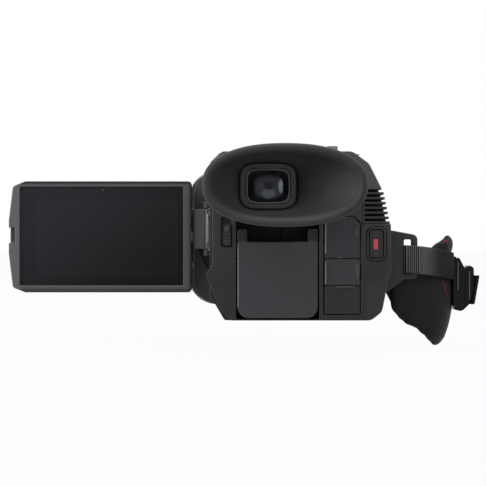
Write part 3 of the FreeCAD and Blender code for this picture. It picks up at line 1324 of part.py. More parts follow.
pad_side = prism("pad_side", "YZ", "body_right", "pad_outer + 1", [
    ("pad_rear - pad_rear_lap", "pad_bottom + pad_rear_rise"),
    ("pad_rear + pad_rear_run", "pad_bottom"), ("pad_front - pad_front_run", "pad_bottom"),
    ("pad_front + pad_front_lap", "pad_bottom + pad_front_rise"),
    ("pad_front + pad_front_lap", "pad_top - pad_front_drop"), ("pad_front - pad_top_run", "pad_top"),
    ("pad_rear + pad_top_run", "pad_top"), ("pad_rear - pad_rear_lap", "pad_top - pad_rear_drop")],
    [((1, 2, 5, 6), "pad_edge_round")])
named(shared("pad_form", pad_band, pad_side), "strap_pad")
REAR_SLOT = "bracket_reach - bracket_rim - webbing_thickness / 2 - cover_gap"
FRONT_SLOT = "bracket_front_reach - bracket_rim - webbing_thickness / 2 - cover_gap"
WEB_OUT = "pad_outer + cover_gap + webbing_thickness"
HALF_WEB = "webbing_thickness / 2"
REAR_WRAP = f"strap_rear - cover_gap - {HALF_WEB}"
REAR_EDGE = f"bracket_reach + cover_gap + {HALF_WEB}"
FRONT_WRAP = f"strap_front + bracket_thickness + cover_gap + {HALF_WEB}"
FRONT_EDGE = f"bracket_front_reach + cover_gap + {HALF_WEB}"
REAR_END = "strap_rear + bracket_thickness + webbing_end"
FRONT_END = "strap_front - webbing_end"
named(prism("webbing_form", "XY", "webbing_bottom", "webbing_top", [
    (f"{REAR_SLOT} - {HALF_WEB}", REAR_END), (f"{REAR_SLOT} - {HALF_WEB}", f"{REAR_WRAP} - {HALF_WEB}"),
    (f"{REAR_EDGE} + {HALF_WEB} / 2", f"{REAR_WRAP} - {HALF_WEB}"),
    (WEB_OUT, f"pad_rear + pad_shoulder - {HALF_WEB}"), (WEB_OUT, f"pad_front - pad_shoulder + {HALF_WEB}"),
    (f"{FRONT_EDGE} + {HALF_WEB} / 2", f"{FRONT_WRAP} + {HALF_WEB}"),
    (f"{FRONT_SLOT} - {HALF_WEB}", f"{FRONT_WRAP} + {HALF_WEB}"), (f"{FRONT_SLOT} - {HALF_WEB}", FRONT_END),
    (f"{FRONT_SLOT} + {HALF_WEB}", FRONT_END), (f"{FRONT_SLOT} + {HALF_WEB}", f"{FRONT_WRAP} - {HALF_WEB}"),
    (f"{FRONT_EDGE} - {HALF_WEB} / 2", f"{FRONT_WRAP} - {HALF_WEB}"),
    (f"{WEB_OUT} - webbing_thickness", "pad_front - pad_shoulder"),
    (f"{WEB_OUT} - webbing_thickness", "pad_rear + pad_shoulder"),
    (f"{REAR_EDGE} - {HALF_WEB} / 2", f"{REAR_WRAP} + {HALF_WEB}"),
    (f"{REAR_SLOT} + {HALF_WEB}", f"{REAR_WRAP} + {HALF_WEB}"), (f"{REAR_SLOT} + {HALF_WEB}", REAR_END),
], [((1, 2, 5, 6), "webbing_thickness"), ((3, 4), "pad_bend + webbing_thickness"),
    ((11, 12), "pad_bend")]), "strap_webbing")
PAD_FACE = "pad_outer + cover_gap"
buckle_frame = prism("buckle_frame", "XZ", "-buckle_half_length", "buckle_half_length", [
    (PAD_FACE, "buckle_bottom"), (f"{WEB_OUT} + buckle_thickness", "buckle_bottom"),
    (f"{WEB_OUT} + buckle_thickness", "buckle_top - buckle_point"),
    (f"{WEB_OUT} + buckle_thickness / 2", "buckle_top"), (WEB_OUT, "buckle_top - buckle_point"),
    (WEB_OUT, "webbing_bottom - cover_gap"), (PAD_FACE, "webbing_bottom - cover_gap")],
    [((1, 2, 3, 4), "buckle_round")])
buckle_windows = [
    block("buckle_window", ("pad_outer", f"{WEB_OUT} + buckle_thickness + 1"),
          ("bracket_rim - buckle_half_length", "buckle_half_length - bracket_rim"),
          (f"{middle} - bracket_rim", f"{middle} + bracket_rim"))
    for middle in ("buckle_bottom + buckle_window_place", "buckle_top - buckle_window_place")]
named(cut("buckle_cut", buckle_frame, *buckle_windows), "strap_buckle")
KEEPER = f"{WEB_OUT} + buckle_thickness"
named(prism("keeper_form", "XZ", "-keeper_half_length", "keeper_half_length", [
    (KEEPER, "buckle_bottom - cover_gap"), (PAD_FACE, "buckle_bottom - cover_gap"),
    (PAD_FACE, "buckle_bottom - keeper_drop"),
    (f"{KEEPER} + keeper_depth / 2", "buckle_bottom - keeper_drop"),
    (f"{KEEPER} + keeper_depth", "buckle_bottom + keeper_heel"),
    (f"{KEEPER} + keeper_depth", "keeper_top"), (KEEPER, "keeper_top")],
    [((3, 4, 5, 6), "keeper_round")]), "strap_keeper")
named(block("tail_form", (f"{KEEPER} + keeper_depth", f"{KEEPER} + keeper_depth + webbing_thickness"),
            ("-buckle_half_length / 2", "buckle_half_length / 2"),
            ("tail_bottom", "tail_top")), "strap_tail")

# Every object must be sound before any file is written.
doc.recompute()
for item in doc.Objects:
    if "Invalid" in item.State or "Error" in item.State:
        raise RuntimeError(f"{item.Label} did not compute: {item.State}")
os.makedirs("parts", exist_ok=True)
for item in subparts:
    if item.Shape.isNull() or not item.Shape.isValid():
        raise RuntimeError(f"{item.Label} has no sound shape")
for item in subparts:
    item.Shape.exportStep(f"parts/{item.Label}.step")
print(f"{len(subparts)} sub-parts written")
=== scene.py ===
import json
import math

import bmesh
import bpy
from mathutils import Matrix, Vector

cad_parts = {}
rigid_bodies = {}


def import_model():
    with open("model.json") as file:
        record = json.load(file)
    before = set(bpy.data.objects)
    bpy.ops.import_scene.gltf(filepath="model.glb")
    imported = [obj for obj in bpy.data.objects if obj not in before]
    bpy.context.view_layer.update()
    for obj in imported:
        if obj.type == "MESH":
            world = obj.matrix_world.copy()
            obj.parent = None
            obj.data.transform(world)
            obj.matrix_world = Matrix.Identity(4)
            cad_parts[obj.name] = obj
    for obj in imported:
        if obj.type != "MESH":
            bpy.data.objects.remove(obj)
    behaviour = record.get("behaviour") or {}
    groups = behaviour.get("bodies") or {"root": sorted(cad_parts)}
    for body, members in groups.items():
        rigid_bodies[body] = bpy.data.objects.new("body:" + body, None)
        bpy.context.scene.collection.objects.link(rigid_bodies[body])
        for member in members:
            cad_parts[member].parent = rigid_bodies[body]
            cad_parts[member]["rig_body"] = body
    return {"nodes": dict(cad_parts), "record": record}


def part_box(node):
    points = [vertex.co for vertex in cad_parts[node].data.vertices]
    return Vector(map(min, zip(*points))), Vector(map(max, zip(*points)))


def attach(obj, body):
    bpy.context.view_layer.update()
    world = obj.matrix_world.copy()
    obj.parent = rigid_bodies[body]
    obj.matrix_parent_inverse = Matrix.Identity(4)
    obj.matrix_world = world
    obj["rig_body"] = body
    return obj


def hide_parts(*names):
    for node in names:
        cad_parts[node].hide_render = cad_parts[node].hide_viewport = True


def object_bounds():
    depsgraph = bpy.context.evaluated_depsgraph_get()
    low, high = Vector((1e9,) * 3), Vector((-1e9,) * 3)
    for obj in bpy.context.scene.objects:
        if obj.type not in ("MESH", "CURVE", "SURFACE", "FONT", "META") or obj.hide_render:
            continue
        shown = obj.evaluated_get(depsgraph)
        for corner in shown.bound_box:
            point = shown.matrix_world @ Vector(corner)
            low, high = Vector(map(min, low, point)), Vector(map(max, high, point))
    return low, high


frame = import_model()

cad_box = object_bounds()
MM = 0.001

# View: level with the camcorder and 1.09 m behind its battery, through a long lens.
VIEW_DISTANCE = 1.089
VIEW_HEIGHT = 38.8 * MM
VIEW_SIDE = -3.5 * MM
battery_low, battery_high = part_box("battery_pack")
view_camera = bpy.data.objects.new("view_camera", bpy.data.cameras.new("view_camera"))
bpy.context.scene.collection.objects.link(view_camera)
view_camera.location = (VIEW_SIDE, battery_low.y - VIEW_DISTANCE, VIEW_HEIGHT)
view_camera.rotation_euler = (math.pi / 2, 0, 0)
view_camera.data.lens = 163.8
view_camera.data.sensor_width = 36
view_camera.data.clip_end = 50
bpy.context.scene.camera = view_camera
bpy.context.scene.view_settings.view_transform = "Standard"

# Studio: a pale floor, a white surround that glass and gloss also see, and five soft lamps.


class Value:
    """A socket of a material. Arithmetic on it adds the Math nodes that work it out."""

    def __init__(self, tree, socket=None):
        self.tree = tree
        self.socket = socket

    def node(self, kind, output=0, stops=(), settings=(), **inputs):
        """Add one node: its settings or ramp stops first, then its sockets; return an output."""
        made = self.tree.nodes.new("ShaderNode" + kind)
        for name, setting in dict(settings).items():
            setattr(made, name, setting)
        for index, (place, shade) in enumerate(stops):
            ends = made.color_ramp.elements
            stop = ends[index] if index < 2 else ends.new(place)
            stop.position = place
            stop.color = (*shade, 1) if isinstance(shade, tuple) else (shade, shade, shade, 1)
        for name, given in inputs.items():
            numbered = name[0] == "i" and name[1:].isdigit()
            socket = made.inputs[int(name[1:]) if numbered else name.replace("_", " ")]
            if isinstance(given, Value):
                self.tree.links.new(given.socket, socket)
            else:
                socket.default_value = given
        return Value(self.tree, made.outputs[output])

    def math(self, operation, *others):
        inputs = {f"i{index}": given for index, given in enumerate((self, *others))}
        return self.node("Math", settings={"operation": operation}, **inputs)

    def __add__(self, other):
        return self.math("ADD", other)

    def __mul__(self, other):
        return self.math("MULTIPLY", other)

    def __sub__(self, other):
        return self.math("SUBTRACT", other)

    def __rsub__(self, other):
        return self * -1 + other

    def __pow__(self, other):
        return self.math("POWER", other)

    __radd__, __rmul__ = __add__, __mul__

    def ease(self, low, high):
        """0 below low, 1 above high and smooth between them."""
        return self.node("MapRange", settings={"interpolation_type": "SMOOTHSTEP"},
                         Value=self, From_Min=low, From_Max=high)

    def blend(self, low, high):
        """A colour from low to high, with this value as the factor."""
        low, high = [(*shade, 1) if isinstance(shade, tuple) else shade for shade in (low, high)]
        return self.node("Mix", output=2, settings={"data_type": "RGBA"}, i0=self, i6=low, i7=high)

    def axis(self, letter):
        """One coordinate of a vector."""
        return self.node("SeparateXYZ", output="XYZ".index(letter), Vector=self)


def new_material(name, **fixed):
    """A material whose shader has these plain settings, and a Value to start expressions from."""
    material = bpy.data.materials.new(name)
    material.use_nodes = True
    for socket, given in fixed.items():
        material.node_tree.nodes["Principled BSDF"].inputs[socket.replace("_", " ")].default_value = given
    return material, Value(material.node_tree)


def feed(material, **sockets):
    """Join expressions to the sockets of a material's shader."""
    for name, given in sockets.items():
        shader = material.node_tree.nodes["Principled BSDF"]
        material.node_tree.links.new(given.socket, shader.inputs[name.replace("_", " ")])


def shows_background(start):
    """1 for rays that should meet the white background: those of the view, of gloss and of glass."""
    seen = [start.node("LightPath", output=f"Is {kind} Ray")
            for kind in ("Camera", "Glossy", "Transmission")]
    return seen[0].math("MAXIMUM", seen[1].math("MAXIMUM", seen[2]))


FLOOR_LEVEL = cad_box[0][2] - 0.3 * MM
bpy.ops.object.select_all(action="DESELECT")
bpy.ops.mesh.primitive_plane_add(size=30, location=(0, 0, FLOOR_LEVEL))
floor = bpy.context.object
floor.name = "floor"
floor_paint, start = new_material("floor_paint", Base_Color=(0.3, 0.3, 0.3, 1), Roughness=0.9)
paper = start.node("TexNoise", Vector=start.node("TexCoord", output="Object"), Scale=30.0, Detail=4.0)
feed(floor_paint, Roughness=paper * 0.1 + 0.85)
nodes = floor_paint.node_tree.nodes
glow = start.node("Emission", Color=(1, 1, 1, 1), Strength=1.0)
lit = Value(start.tree, nodes["Principled BSDF"].outputs[0])
mixed = start.node("MixShader", i0=shows_background(start) * 0.96, i1=lit, i2=glow)
start.tree.links.new(mixed.socket, nodes["Material Output"].inputs["Surface"])
floor.data.materials.append(floor_paint)

surround = bpy.data.worlds.new("surround")
bpy.context.scene.world = surround
surround.use_nodes = True
start = Value(surround.node_tree)
ROOM_LIGHT = 0.45
background = surround.node_tree.nodes["Background"]
background.inputs["Color"].default_value = (1, 1, 1, 1)
strength = shows_background(start) * (1 - ROOM_LIGHT) + ROOM_LIGHT
surround.node_tree.links.new(strength.socket, background.inputs["Strength"])

LAMPS = (("key_lamp", (-0.9, -1.4, 1.5), 1.2, 14), ("side_lamp", (1.3, -1.2, 0.8), 1.0, 5),
         ("top_lamp", (0.1, -0.1, 1.8), 1.2, 18), ("front_lamp", (-0.4, 1.6, 0.7), 1.0, 7),
         ("edge_lamp", (-1.4, -0.35, 0.4), 0.35, 13))
for name, place, width, power in LAMPS:
    lamp = bpy.data.objects.new(name, bpy.data.lights.new(name, "AREA"))
    lamp.data.shape = "SQUARE"
    lamp.data.size = width
    lamp.data.energy = power
    lamp.location = place
    lamp.rotation_euler = (Vector((0, 0, 0.04)) - Vector(place)).to_track_quat("-Z", "Y").to_euler()
    bpy.context.scene.collection.objects.link(lamp)

# Housing: two shells, a top cover, a rear frame and a front cover, moulded in charcoal ABS with a
# fine spark-eroded grain. They meet along shut lines and screw to a frame inside.
slot_of = {row["node"]: row["material_slot"] for row in frame["record"]["subparts"]}


def only(piece):
    """Select this piece and nothing else."""
    bpy.ops.object.select_all(action="DESELECT")
    piece.select_set(True)
    bpy.context.view_layer.objects.active = piece


def finish_with(piece, kind, **settings):
    """Add a modifier to a piece and apply it."""
    only(piece)
    modifier = piece.modifiers.new(kind.lower(), kind)
    for name, setting in settings.items():
        setattr(modifier, name, setting)
    bpy.ops.object.modifier_apply(modifier=modifier.name)


def soften(piece, width, segments=2, angle=28, **settings):
    """Round the sharp edges of a piece and shade it as one moulding."""
    finish_with(piece, "BEVEL", width=width, segments=segments, limit_method="ANGLE",
                angle_limit=math.radians(angle), miter_outer="MITER_ARC", **settings)
    bpy.ops.object.shade_smooth_by_angle(angle=math.radians(40))
    finish_with(piece, "WEIGHTED_NORMAL", keep_sharp=True, weight=100)


def cad_copy(node):
    """A joined-up copy of a CAD node, left in edit mode with all of it selected."""
    piece = bpy.data.objects.new(node + "_piece", frame["nodes"][node].data.copy())
    bpy.context.scene.collection.objects.link(piece)
    only(piece)
    bpy.ops.object.mode_set(mode="EDIT")
    bpy.ops.mesh.select_all(action="SELECT")
    bpy.ops.mesh.remove_doubles(threshold=0.01 * MM)
    return piece


def moulding(node, width, segments=2, angle=28):
    """The shape of a CAD node with its edges rounded."""
    piece = cad_copy(node)
    bpy.ops.mesh.dissolve_limited(angle_limit=math.radians(0.5))
    bpy.ops.mesh.quads_convert_to_tris(quad_method="BEAUTY", ngon_method="BEAUTY")
    bpy.ops.object.mode_set(mode="OBJECT")
    soften(piece, width * MM, segments, angle, use_clamp_overlap=False, loop_slide=False)
    return piece


def settle(piece, finish, *nodes, body=None, slot=None):
    """Give a piece its finish, the body it rides on and the CAD nodes that it stands for."""
    piece.data.materials.clear()
    piece.data.materials.append(finish)
    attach(piece, body or frame["nodes"][nodes[0]]["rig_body"])
    if nodes:
        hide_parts(*nodes)
    return piece


def carry(node, width, finish, segments=2):
    """Carry a CAD node over, with its edges rounded, under its own name."""
    return settle(moulding(node, width, segments), finish, node)


def grained(name, colour, roughness=0.5, grain=0.3, specular=0.3, polish=0.0, foot=0.0, crown=0.0):
    """Moulded plastic: cloudy gloss, flow marks, a fine grain, polish, painted shade at the foot, painted
    light on the crown.
    """
    material, start = new_material(name, Specular_IOR_Level=specular)
    place = start.node("TexCoord", output="Object")
    fine = start.node("TexNoise", Vector=place, Scale=3200.0, Detail=3.0, Roughness=0.65)
    cloud = start.node("TexNoise", Vector=place, Scale=45.0, Detail=4.0)
    flow = start.node("TexNoise", Vector=place, Scale=14.0, Detail=2.0, Distortion=0.6)
    shade = cloud * 0.35 + flow * 0.65
    specks = start.node("TexVoronoi", Vector=place, Scale=1500.0).ease(0.10, 0.02)
    tint = shade.blend(tuple(0.86 * c for c in colour), tuple(1.14 * c for c in colour))
    # Painted shade: the colour darkens towards the foot, below 44 mm, where less light falls.
    if foot:
        tint = (place.axis("Z").ease(44 * MM, 20 * MM) * foot).blend(tint, tuple(0.1 * c for c in colour))
    # Painted light: the top, above 60 mm, is lightened where light falls on it.
    if crown:
        tint = (place.axis("Z").ease(60 * MM, 68 * MM) * crown).blend(tint, tuple(3.0 * c for c in colour))
    feed(material, Base_Color=(specks * 0.10).blend(tint, (0.16, 0.16, 0.165)),
         Roughness=cloud * 0.14 + (roughness - 0.07) - flow.ease(0.45, 0.75) * polish,
         Normal=start.node("Bump", Height=fine, Strength=grain, Distance=0.00007))
    return material


CHARCOAL = (0.024, 0.024, 0.026)
# Painted shade darkens the housing and grip plastics towards their foot, and painted light lightens the top
# of the grip.
housing_plastic = grained("housing_plastic", CHARCOAL, 0.46, polish=0.08, foot=0.6)
front_plastic = grained("front_plastic", (0.055, 0.055, 0.058), 0.44, polish=0.08)
grip_plastic = grained("grip_plastic", CHARCOAL, 0.46, polish=0.08, foot=0.6, crown=0.8)
shell_finish = {"front_cover": front_plastic, "right_shell": grip_plastic, "rear_frame": grip_plastic}
for node, width in {"left_shell": 0.3, "right_shell": 0.5, "top_cover": 0.5,
                    "rear_frame": 0.5, "front_cover": 0.4}.items():
    carry(node, width, shell_finish.get(node, housing_plastic))

# Loudspeaker: a field of small drilled holes in the left wall, each with its black bottom, where
# the screen covers it when shut. The holes are drilled by the mould's own pins.


def mm(*place):
    return Vector(place) * MM


def disc(name, centre, radius, depth, axis, sides=24):
    """A cylinder added at its size, place and direction, all in metres."""
    bpy.ops.object.select_all(action="DESELECT")
    turn = {"X": (0, math.pi / 2, 0), "Y": (math.pi / 2, 0, 0), "Z": (0, 0, 0)}[axis]
    bpy.ops.mesh.primitive_cylinder_add(vertices=sides, radius=radius, depth=depth, location=centre,
                                        rotation=turn)
    piece = bpy.context.object
    piece.name = name
    bpy.ops.object.transform_apply(location=True, rotation=True, scale=True)
    return piece


def pick(piece, kind, test):
    """In edit mode, select the faces or edges whose middle and direction pass the test."""
    bpy.ops.mesh.select_mode(type=kind)
    bpy.ops.mesh.select_all(action="DESELECT")
    shape = bmesh.from_edit_mesh(piece.data)
    for part in shape.faces if kind == "FACE" else shape.edges:
        ends = [corner.co for corner in part.verts]
        facing = part.normal if kind == "FACE" else (ends[1] - ends[0]).normalized()
        part.select_set(test(sum(ends, Vector()) / len(ends), facing))
    bmesh.update_edit_mesh(piece.data)


def inset_faces(piece, test, *steps):
    """Inset the faces that pass the test, once for each thickness and depth."""
    bpy.ops.object.mode_set(mode="EDIT")
    pick(piece, "FACE", test)
    for thickness, depth in steps:
        bpy.ops.mesh.inset(thickness=thickness, depth=depth)
    bpy.ops.object.mode_set(mode="OBJECT")


def copy_of(piece, name, move=(0, 0, 0)):
    """A copy with its own mesh, moved to its place."""
    made = bpy.data.objects.new(name, piece.data.copy())
    bpy.context.scene.collection.objects.link(made)
    made.data.transform(Matrix.Translation(move))
    return made


def joined(pieces, name):
    """One piece from several."""
    bpy.ops.object.select_all(action="DESELECT")
    for piece in pieces:
        piece.select_set(True)
    bpy.context.view_layer.objects.active = pieces[0]
    if len(pieces) > 1:
        bpy.ops.object.join()
    pieces[0].name = name
    return pieces[0]


def sunk_ring(name, centre, radius, axis, facing):
    """A hole's mouth: a thin disc with a chamfered rim and a dished middle."""
    made = disc(name, centre, radius, 0.16 * MM, axis, 14)
    inset_faces(made, lambda middle, normal: normal.dot(Vector(facing)) > 0.9,
                (0.22 * radius, 0.0), (0.1 * radius, -0.12 * MM))
    bpy.ops.object.shade_smooth_by_angle(angle=math.radians(30))
    return made


shell_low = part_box("left_shell")[0]
first_hole = sunk_ring("speaker_hole", Vector((shell_low.x, -0.060, 0.060)), 0.55 * MM, "X", (-1, 0, 0))
holes = [copy_of(first_hole, "speaker_hole", mm(0, 2 * row_place + (level % 2), 1.75 * level))
         for level in range(7) for row_place in range(11) if abs(level - 3) + abs(row_place - 5) < 8]
bpy.data.objects.remove(first_hole)
settle(joined(holes, "speaker_holes"), grained("black_recess", (0.006, 0.006, 0.006), 0.8, 0.1, 0.1),
       body="camera_body", slot="housing")

# Base: a screwed plate round the steel tripod bush, four rubber feet and eight cross-head screws.
# The bush has a quarter-inch thread, twenty turns to the inch.
carry("base_plate", 0.4, grained("base_plastic", (0.02, 0.02, 0.021), 0.55))
carry("base_feet", 0.2, grained("foot_rubber", (0.012, 0.012, 0.012), 0.75, 0.5, 0.2))


def metal(name, colour, roughness, brushed=(900, 900, 90), rise=0.08):
    """Bare metal with fine machining marks along one direction."""
    material, start = new_material(name, Metallic=1.0)
    place = start.node("TexCoord", output="Object")
    along = start.node("Mapping", Vector=place, Scale=brushed)
    marks = start.node("TexNoise", Vector=along, Scale=1.0, Detail=4.0)
    cloud = start.node("TexNoise", Vector=place, Scale=70.0, Detail=2.0)
    feed(material, Base_Color=cloud.blend(tuple(0.82 * c for c in colour), colour),
         Roughness=marks * 0.16 + (roughness - 0.08),
         Normal=start.node("Bump", Height=marks, Strength=rise, Distance=0.00005))
    return material


def threaded(name, pitch):
    """Steel whose walls along z carry the ridges of a screw thread."""
    material, start = new_material(name, Metallic=1.0, Roughness=0.32)
    place = start.node("TexCoord", output="Object")
    around = place.axis("X").math("ARCTAN2", place.axis("Y")) * (0.5 / math.pi)
    turn = (place.axis("Z") * (1 / pitch) + around).math("FRACT")
    ridge = (turn * 2 - 1).math("ABSOLUTE")
    upright = 1 - start.node("NewGeometry", output="Normal").axis("Z").math("ABSOLUTE")
    feed(material, Base_Color=(ridge * upright).blend((0.46, 0.46, 0.47), (0.2, 0.2, 0.21)),
         Normal=start.node("Bump", Height=ridge * upright, Strength=0.8, Distance=0.0005))
    return material


carry("tripod_socket", 0.3, threaded("bush_steel", 1.27 * MM))


def cross_screw(name, centre, radius, axis, facing):
    """A pan-head screw: a domed head with a sunk cross."""
    facing = Vector(facing)
    head = disc(name, centre, radius, 1.0 * MM, axis, 28)
    inset_faces(head, lambda middle, normal: normal.dot(facing) > 0.9, (0.3 * radius, 0.12 * MM))
    slots = []
    for turn in (0, 1):
        reach = [0.55, 0.13] if turn else [0.13, 0.55]
        reach.insert("XYZ".index(axis), 0.9 * MM / radius)
        bpy.ops.mesh.primitive_cube_add(size=2, location=Vector(centre) + facing * 0.9 * MM)
        slot = bpy.context.object
        slot.scale = [radius * length for length in reach]
        bpy.ops.object.transform_apply(location=True, rotation=True, scale=True)
        slots.append(slot)
    for slot in slots:
        finish_with(head, "BOOLEAN", operation="DIFFERENCE", object=slot)
        bpy.data.objects.remove(slot)
    finish_with(head, "BEVEL", width=0.08 * MM, segments=1, limit_method="ANGLE")
    bpy.ops.object.shade_smooth_by_angle(angle=math.radians(35))
    return head


plate_low, plate_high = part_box("base_plate")
black_screw = metal("black_screw", (0.05, 0.05, 0.052), 0.4)
model_screw = cross_screw("model_screw", (0, 0, 0), 1.6 * MM, "Z", (0, 0, -1))
SCREW_PLACES = ((3, 4), (3, -4), (22, 4), (22, -4))
screws = []
for across, along in SCREW_PLACES:
    y = plate_high.y - 4 * MM if along > 0 else plate_low.y + 4 * MM
    for x in (plate_low.x + across * MM, plate_high.x - across * MM):
        screws.append(copy_of(model_screw, "screw", (x, y, plate_low.z + 0.4 * MM)))
settle(joined(screws, "base_screws"), black_screw, body="camera_body", slot="steel")
bpy.data.objects.remove(model_screw)

# Lens: a black anodised tube and bell with glare rings inside, two cells on steel rods, a coated
# front element held by the threaded filter ring.


def ridged(name, colour, pitch, roughness, depth, metallic=0.0, specular=0.3):
    """Satin black with fine turned rings round the lens axis, as glare stops or a thread."""
    material, start = new_material(name, Metallic=metallic, Specular_IOR_Level=specular)
    place = start.node("TexCoord", output="Object")
    ring = ((place.axis("Y") * (1 / pitch)).math("FRACT") * 2 - 1).math("ABSOLUTE")
    beside = 1 - start.node("NewGeometry", output="Normal").axis("Y").math("ABSOLUTE")
    cloud = start.node("TexNoise", Vector=place, Scale=60.0, Detail=3.0)
    feed(material, Base_Color=(ring * beside).blend(tuple(0.6 * c for c in colour), colour),
         Roughness=cloud * 0.12 + (roughness - 0.06),
         Normal=start.node("Bump", Height=ring * beside, Strength=0.6, Distance=depth))
    return material


carry("lens_barrel", 0.3, ridged("barrel_black", (0.016, 0.016, 0.017), 1.1 * MM, 0.5, 0.0003))
carry("filter_ring", 0.2, ridged("filter_thread", (0.03, 0.03, 0.031), 0.75 * MM, 0.32, 0.0004, 0.6))


def coated_glass(name, tint, glow):
    """Lens glass whose coating tints what it reflects, stronger towards the rim."""
    material, start = new_material(name, Roughness=0.02, IOR=1.6, Transmission_Weight=0.9,
                                   Specular_Tint=(*tint, 1))
    rim = start.node("LayerWeight", output="Facing", Blend=0.35)
    dust = start.node("TexNoise", Vector=start.node("TexCoord", output="Object"), Scale=900.0, Detail=2.0)
    feed(material, Base_Color=rim.blend((0.94, 0.95, 0.96), glow),
         Roughness=dust.ease(0.68, 0.8) * 0.2 + 0.02)
    return material


def smooth_copy(node, angle=40):
    """The shape of a turned CAD node with smooth sides."""
    piece = cad_copy(node)
    bpy.ops.object.mode_set(mode="OBJECT")
    bpy.ops.object.shade_smooth_by_angle(angle=math.radians(angle))
    return piece


settle(smooth_copy("front_element"), coated_glass("front_glass", (0.55, 0.75, 1.0), (0.55, 0.4, 0.75)),
       "front_element")
cell_glass = coated_glass("cell_glass", (0.6, 1.0, 0.7), (0.3, 0.45, 0.35))
for node in ("zoom_group", "focus_group"):
    settle(smooth_copy(node), cell_glass, node)
carry("sensor_board", 0.2, grained("sensor_green", (0.01, 0.05, 0.03), 0.4))

# Lens ring: one moulded ring with forty grip ribs, in a soft black that is duller than the body.
carry("lens_ring", 0.25, grained("ring_rubber", (0.014, 0.014, 0.0145), 0.62, 0.35, 0.25))

# Hood: a moulded shade with a wide mouth. Two thin doors close it, pushed by a ribbed lever.
carry("hood", 0.5, grained("hood_plastic", (0.018, 0.018, 0.019), 0.55))
door_black = grained("door_black", (0.008, 0.008, 0.008), 0.6, 0.15, 0.25)
for node in ("barrier_upper", "barrier_lower"):
    carry(node, 0.15, door_black)


def block(name, low, high):
    """A cube added at its size and place between two corners, in metres."""
    low, high = Vector(low), Vector(high)
    bpy.ops.object.select_all(action="DESELECT")
    bpy.ops.mesh.primitive_cube_add(size=1, location=(low + high) / 2)
    piece = bpy.context.object
    piece.name = name
    piece.scale = high - low
    bpy.ops.object.transform_apply(location=True, rotation=True, scale=True)
    return piece


def ribbed_key(node, axis, facing, ribs, rib_width, proud, inset, width=0.25):
    """A small key from its CAD shape, with raised ribs in a row on the side that the finger meets."""
    low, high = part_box(node)
    along, out = "XYZ".index(axis), "XYZ".index(facing[1])
    pieces = [moulding(node, width)]
    pitch = (high[along] - low[along] - 2 * inset * MM) / max(ribs - 1, 1)
    for number in range(ribs):
        corner, opposite = low + mm(inset, inset, inset), high - mm(inset, inset, inset)
        middle = low[along] + inset * MM + number * pitch
        corner[along], opposite[along] = middle - rib_width / 2 * MM, middle + rib_width / 2 * MM
        face = high[out] if facing[0] == "+" else low[out]
        corner[out], opposite[out] = face - proud * MM, face + proud * MM
        rib = block("rib", corner, opposite)
        soften(rib, 0.12 * MM, 2)
        pieces.append(rib)
    return joined(pieces, node + "_piece")


key_plastic = grained("key_plastic", (0.02, 0.02, 0.021), 0.4, 0.2)
settle(ribbed_key("barrier_lever", "Z", "-X", 5, 0.6, 0.1, 1.4), key_plastic, "barrier_lever")

# Viewfinder: a tilting box with soft edges and the ribbed dioptre key under it.
finder_plastic = grained("finder_plastic", (0.052, 0.052, 0.054), 0.42, 0.25)
carry("evf_housing", 1.2, finder_plastic, 3)
lever = ribbed_key("dioptre_lever", "X", "-Z", 4, 0.5, 0.1, 0.8, 0.5)
# Its hidden root is kept short of the rounded floor of the slot.
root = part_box("dioptre_lever")[0].z + 2.2 * MM
for corner in lever.data.vertices:
    corner.co.z = min(corner.co.z, root)
settle(lever, key_plastic, "dioptre_lever")
carry("evf_hinge_pin", 0.2, metal("pin_steel", (0.42, 0.42, 0.43), 0.3))

# Eyepiece: a rounded frame round a sunk window of dark glass, which a thin trim ring holds. All are
# turned out as rounded oblongs round one centre.
SIDES = 144


def oval(centre, half_width, half_height, squareness, y):
    """Points round a rounded oblong, from an ellipse at 2 towards a rectangle as it grows."""
    points = []
    for step in range(SIDES):
        angle = 2 * math.pi * step / SIDES
        c, s = math.cos(angle), math.sin(angle)
        points.append((centre[0] + half_width * math.copysign(abs(c) ** (2 / squareness), c), y,
                       centre[1] + half_height * math.copysign(abs(s) ** (2 / squareness), s)))
    return points


def closed_mesh(name, corners, faces):
    """A piece from its corners and faces, all of them facing outwards."""
    mesh = bpy.data.meshes.new(name)
    mesh.from_pydata(corners, [], faces)
    piece = bpy.data.objects.new(name, mesh)
    bpy.context.scene.collection.objects.link(piece)
    only(piece)
    bpy.ops.object.mode_set(mode="EDIT")
    bpy.ops.mesh.select_all(action="SELECT")
    bpy.ops.mesh.normals_make_consistent(inside=False)
    bpy.ops.object.mode_set(mode="OBJECT")
    return piece


def skinned(name, rings, capped=False):
    """A closed skin over rings of points: capped at both ends, or the last ring joined to the first."""
    sides, count = len(rings[0]), len(rings)
    faces = [(ring * sides + step, ring * sides + (step + 1) % sides,
              (ring + 1) % count * sides + (step + 1) % sides, (ring + 1) % count * sides + step)
             for ring in range(count - capped) for step in range(sides)]
    if capped:
        faces += [tuple(range(sides)), tuple((count - 1) * sides + step for step in range(sides))]
    piece = closed_mesh(name, [point for ring in rings for point in ring], faces)
    bpy.ops.object.shade_smooth()
    return piece


def oblong(name, centre, layers, capped=True, angle=35):
    """A skin over rounded oblongs; each layer is half width, half height, squareness and y in mm."""
    piece = skinned(name, [oval(centre, half_width * MM, half_height * MM, squareness, y * MM)
                           for half_width, half_height, squareness, y in layers], capped)
    bpy.ops.object.shade_smooth_by_angle(angle=math.radians(angle))
    return piece


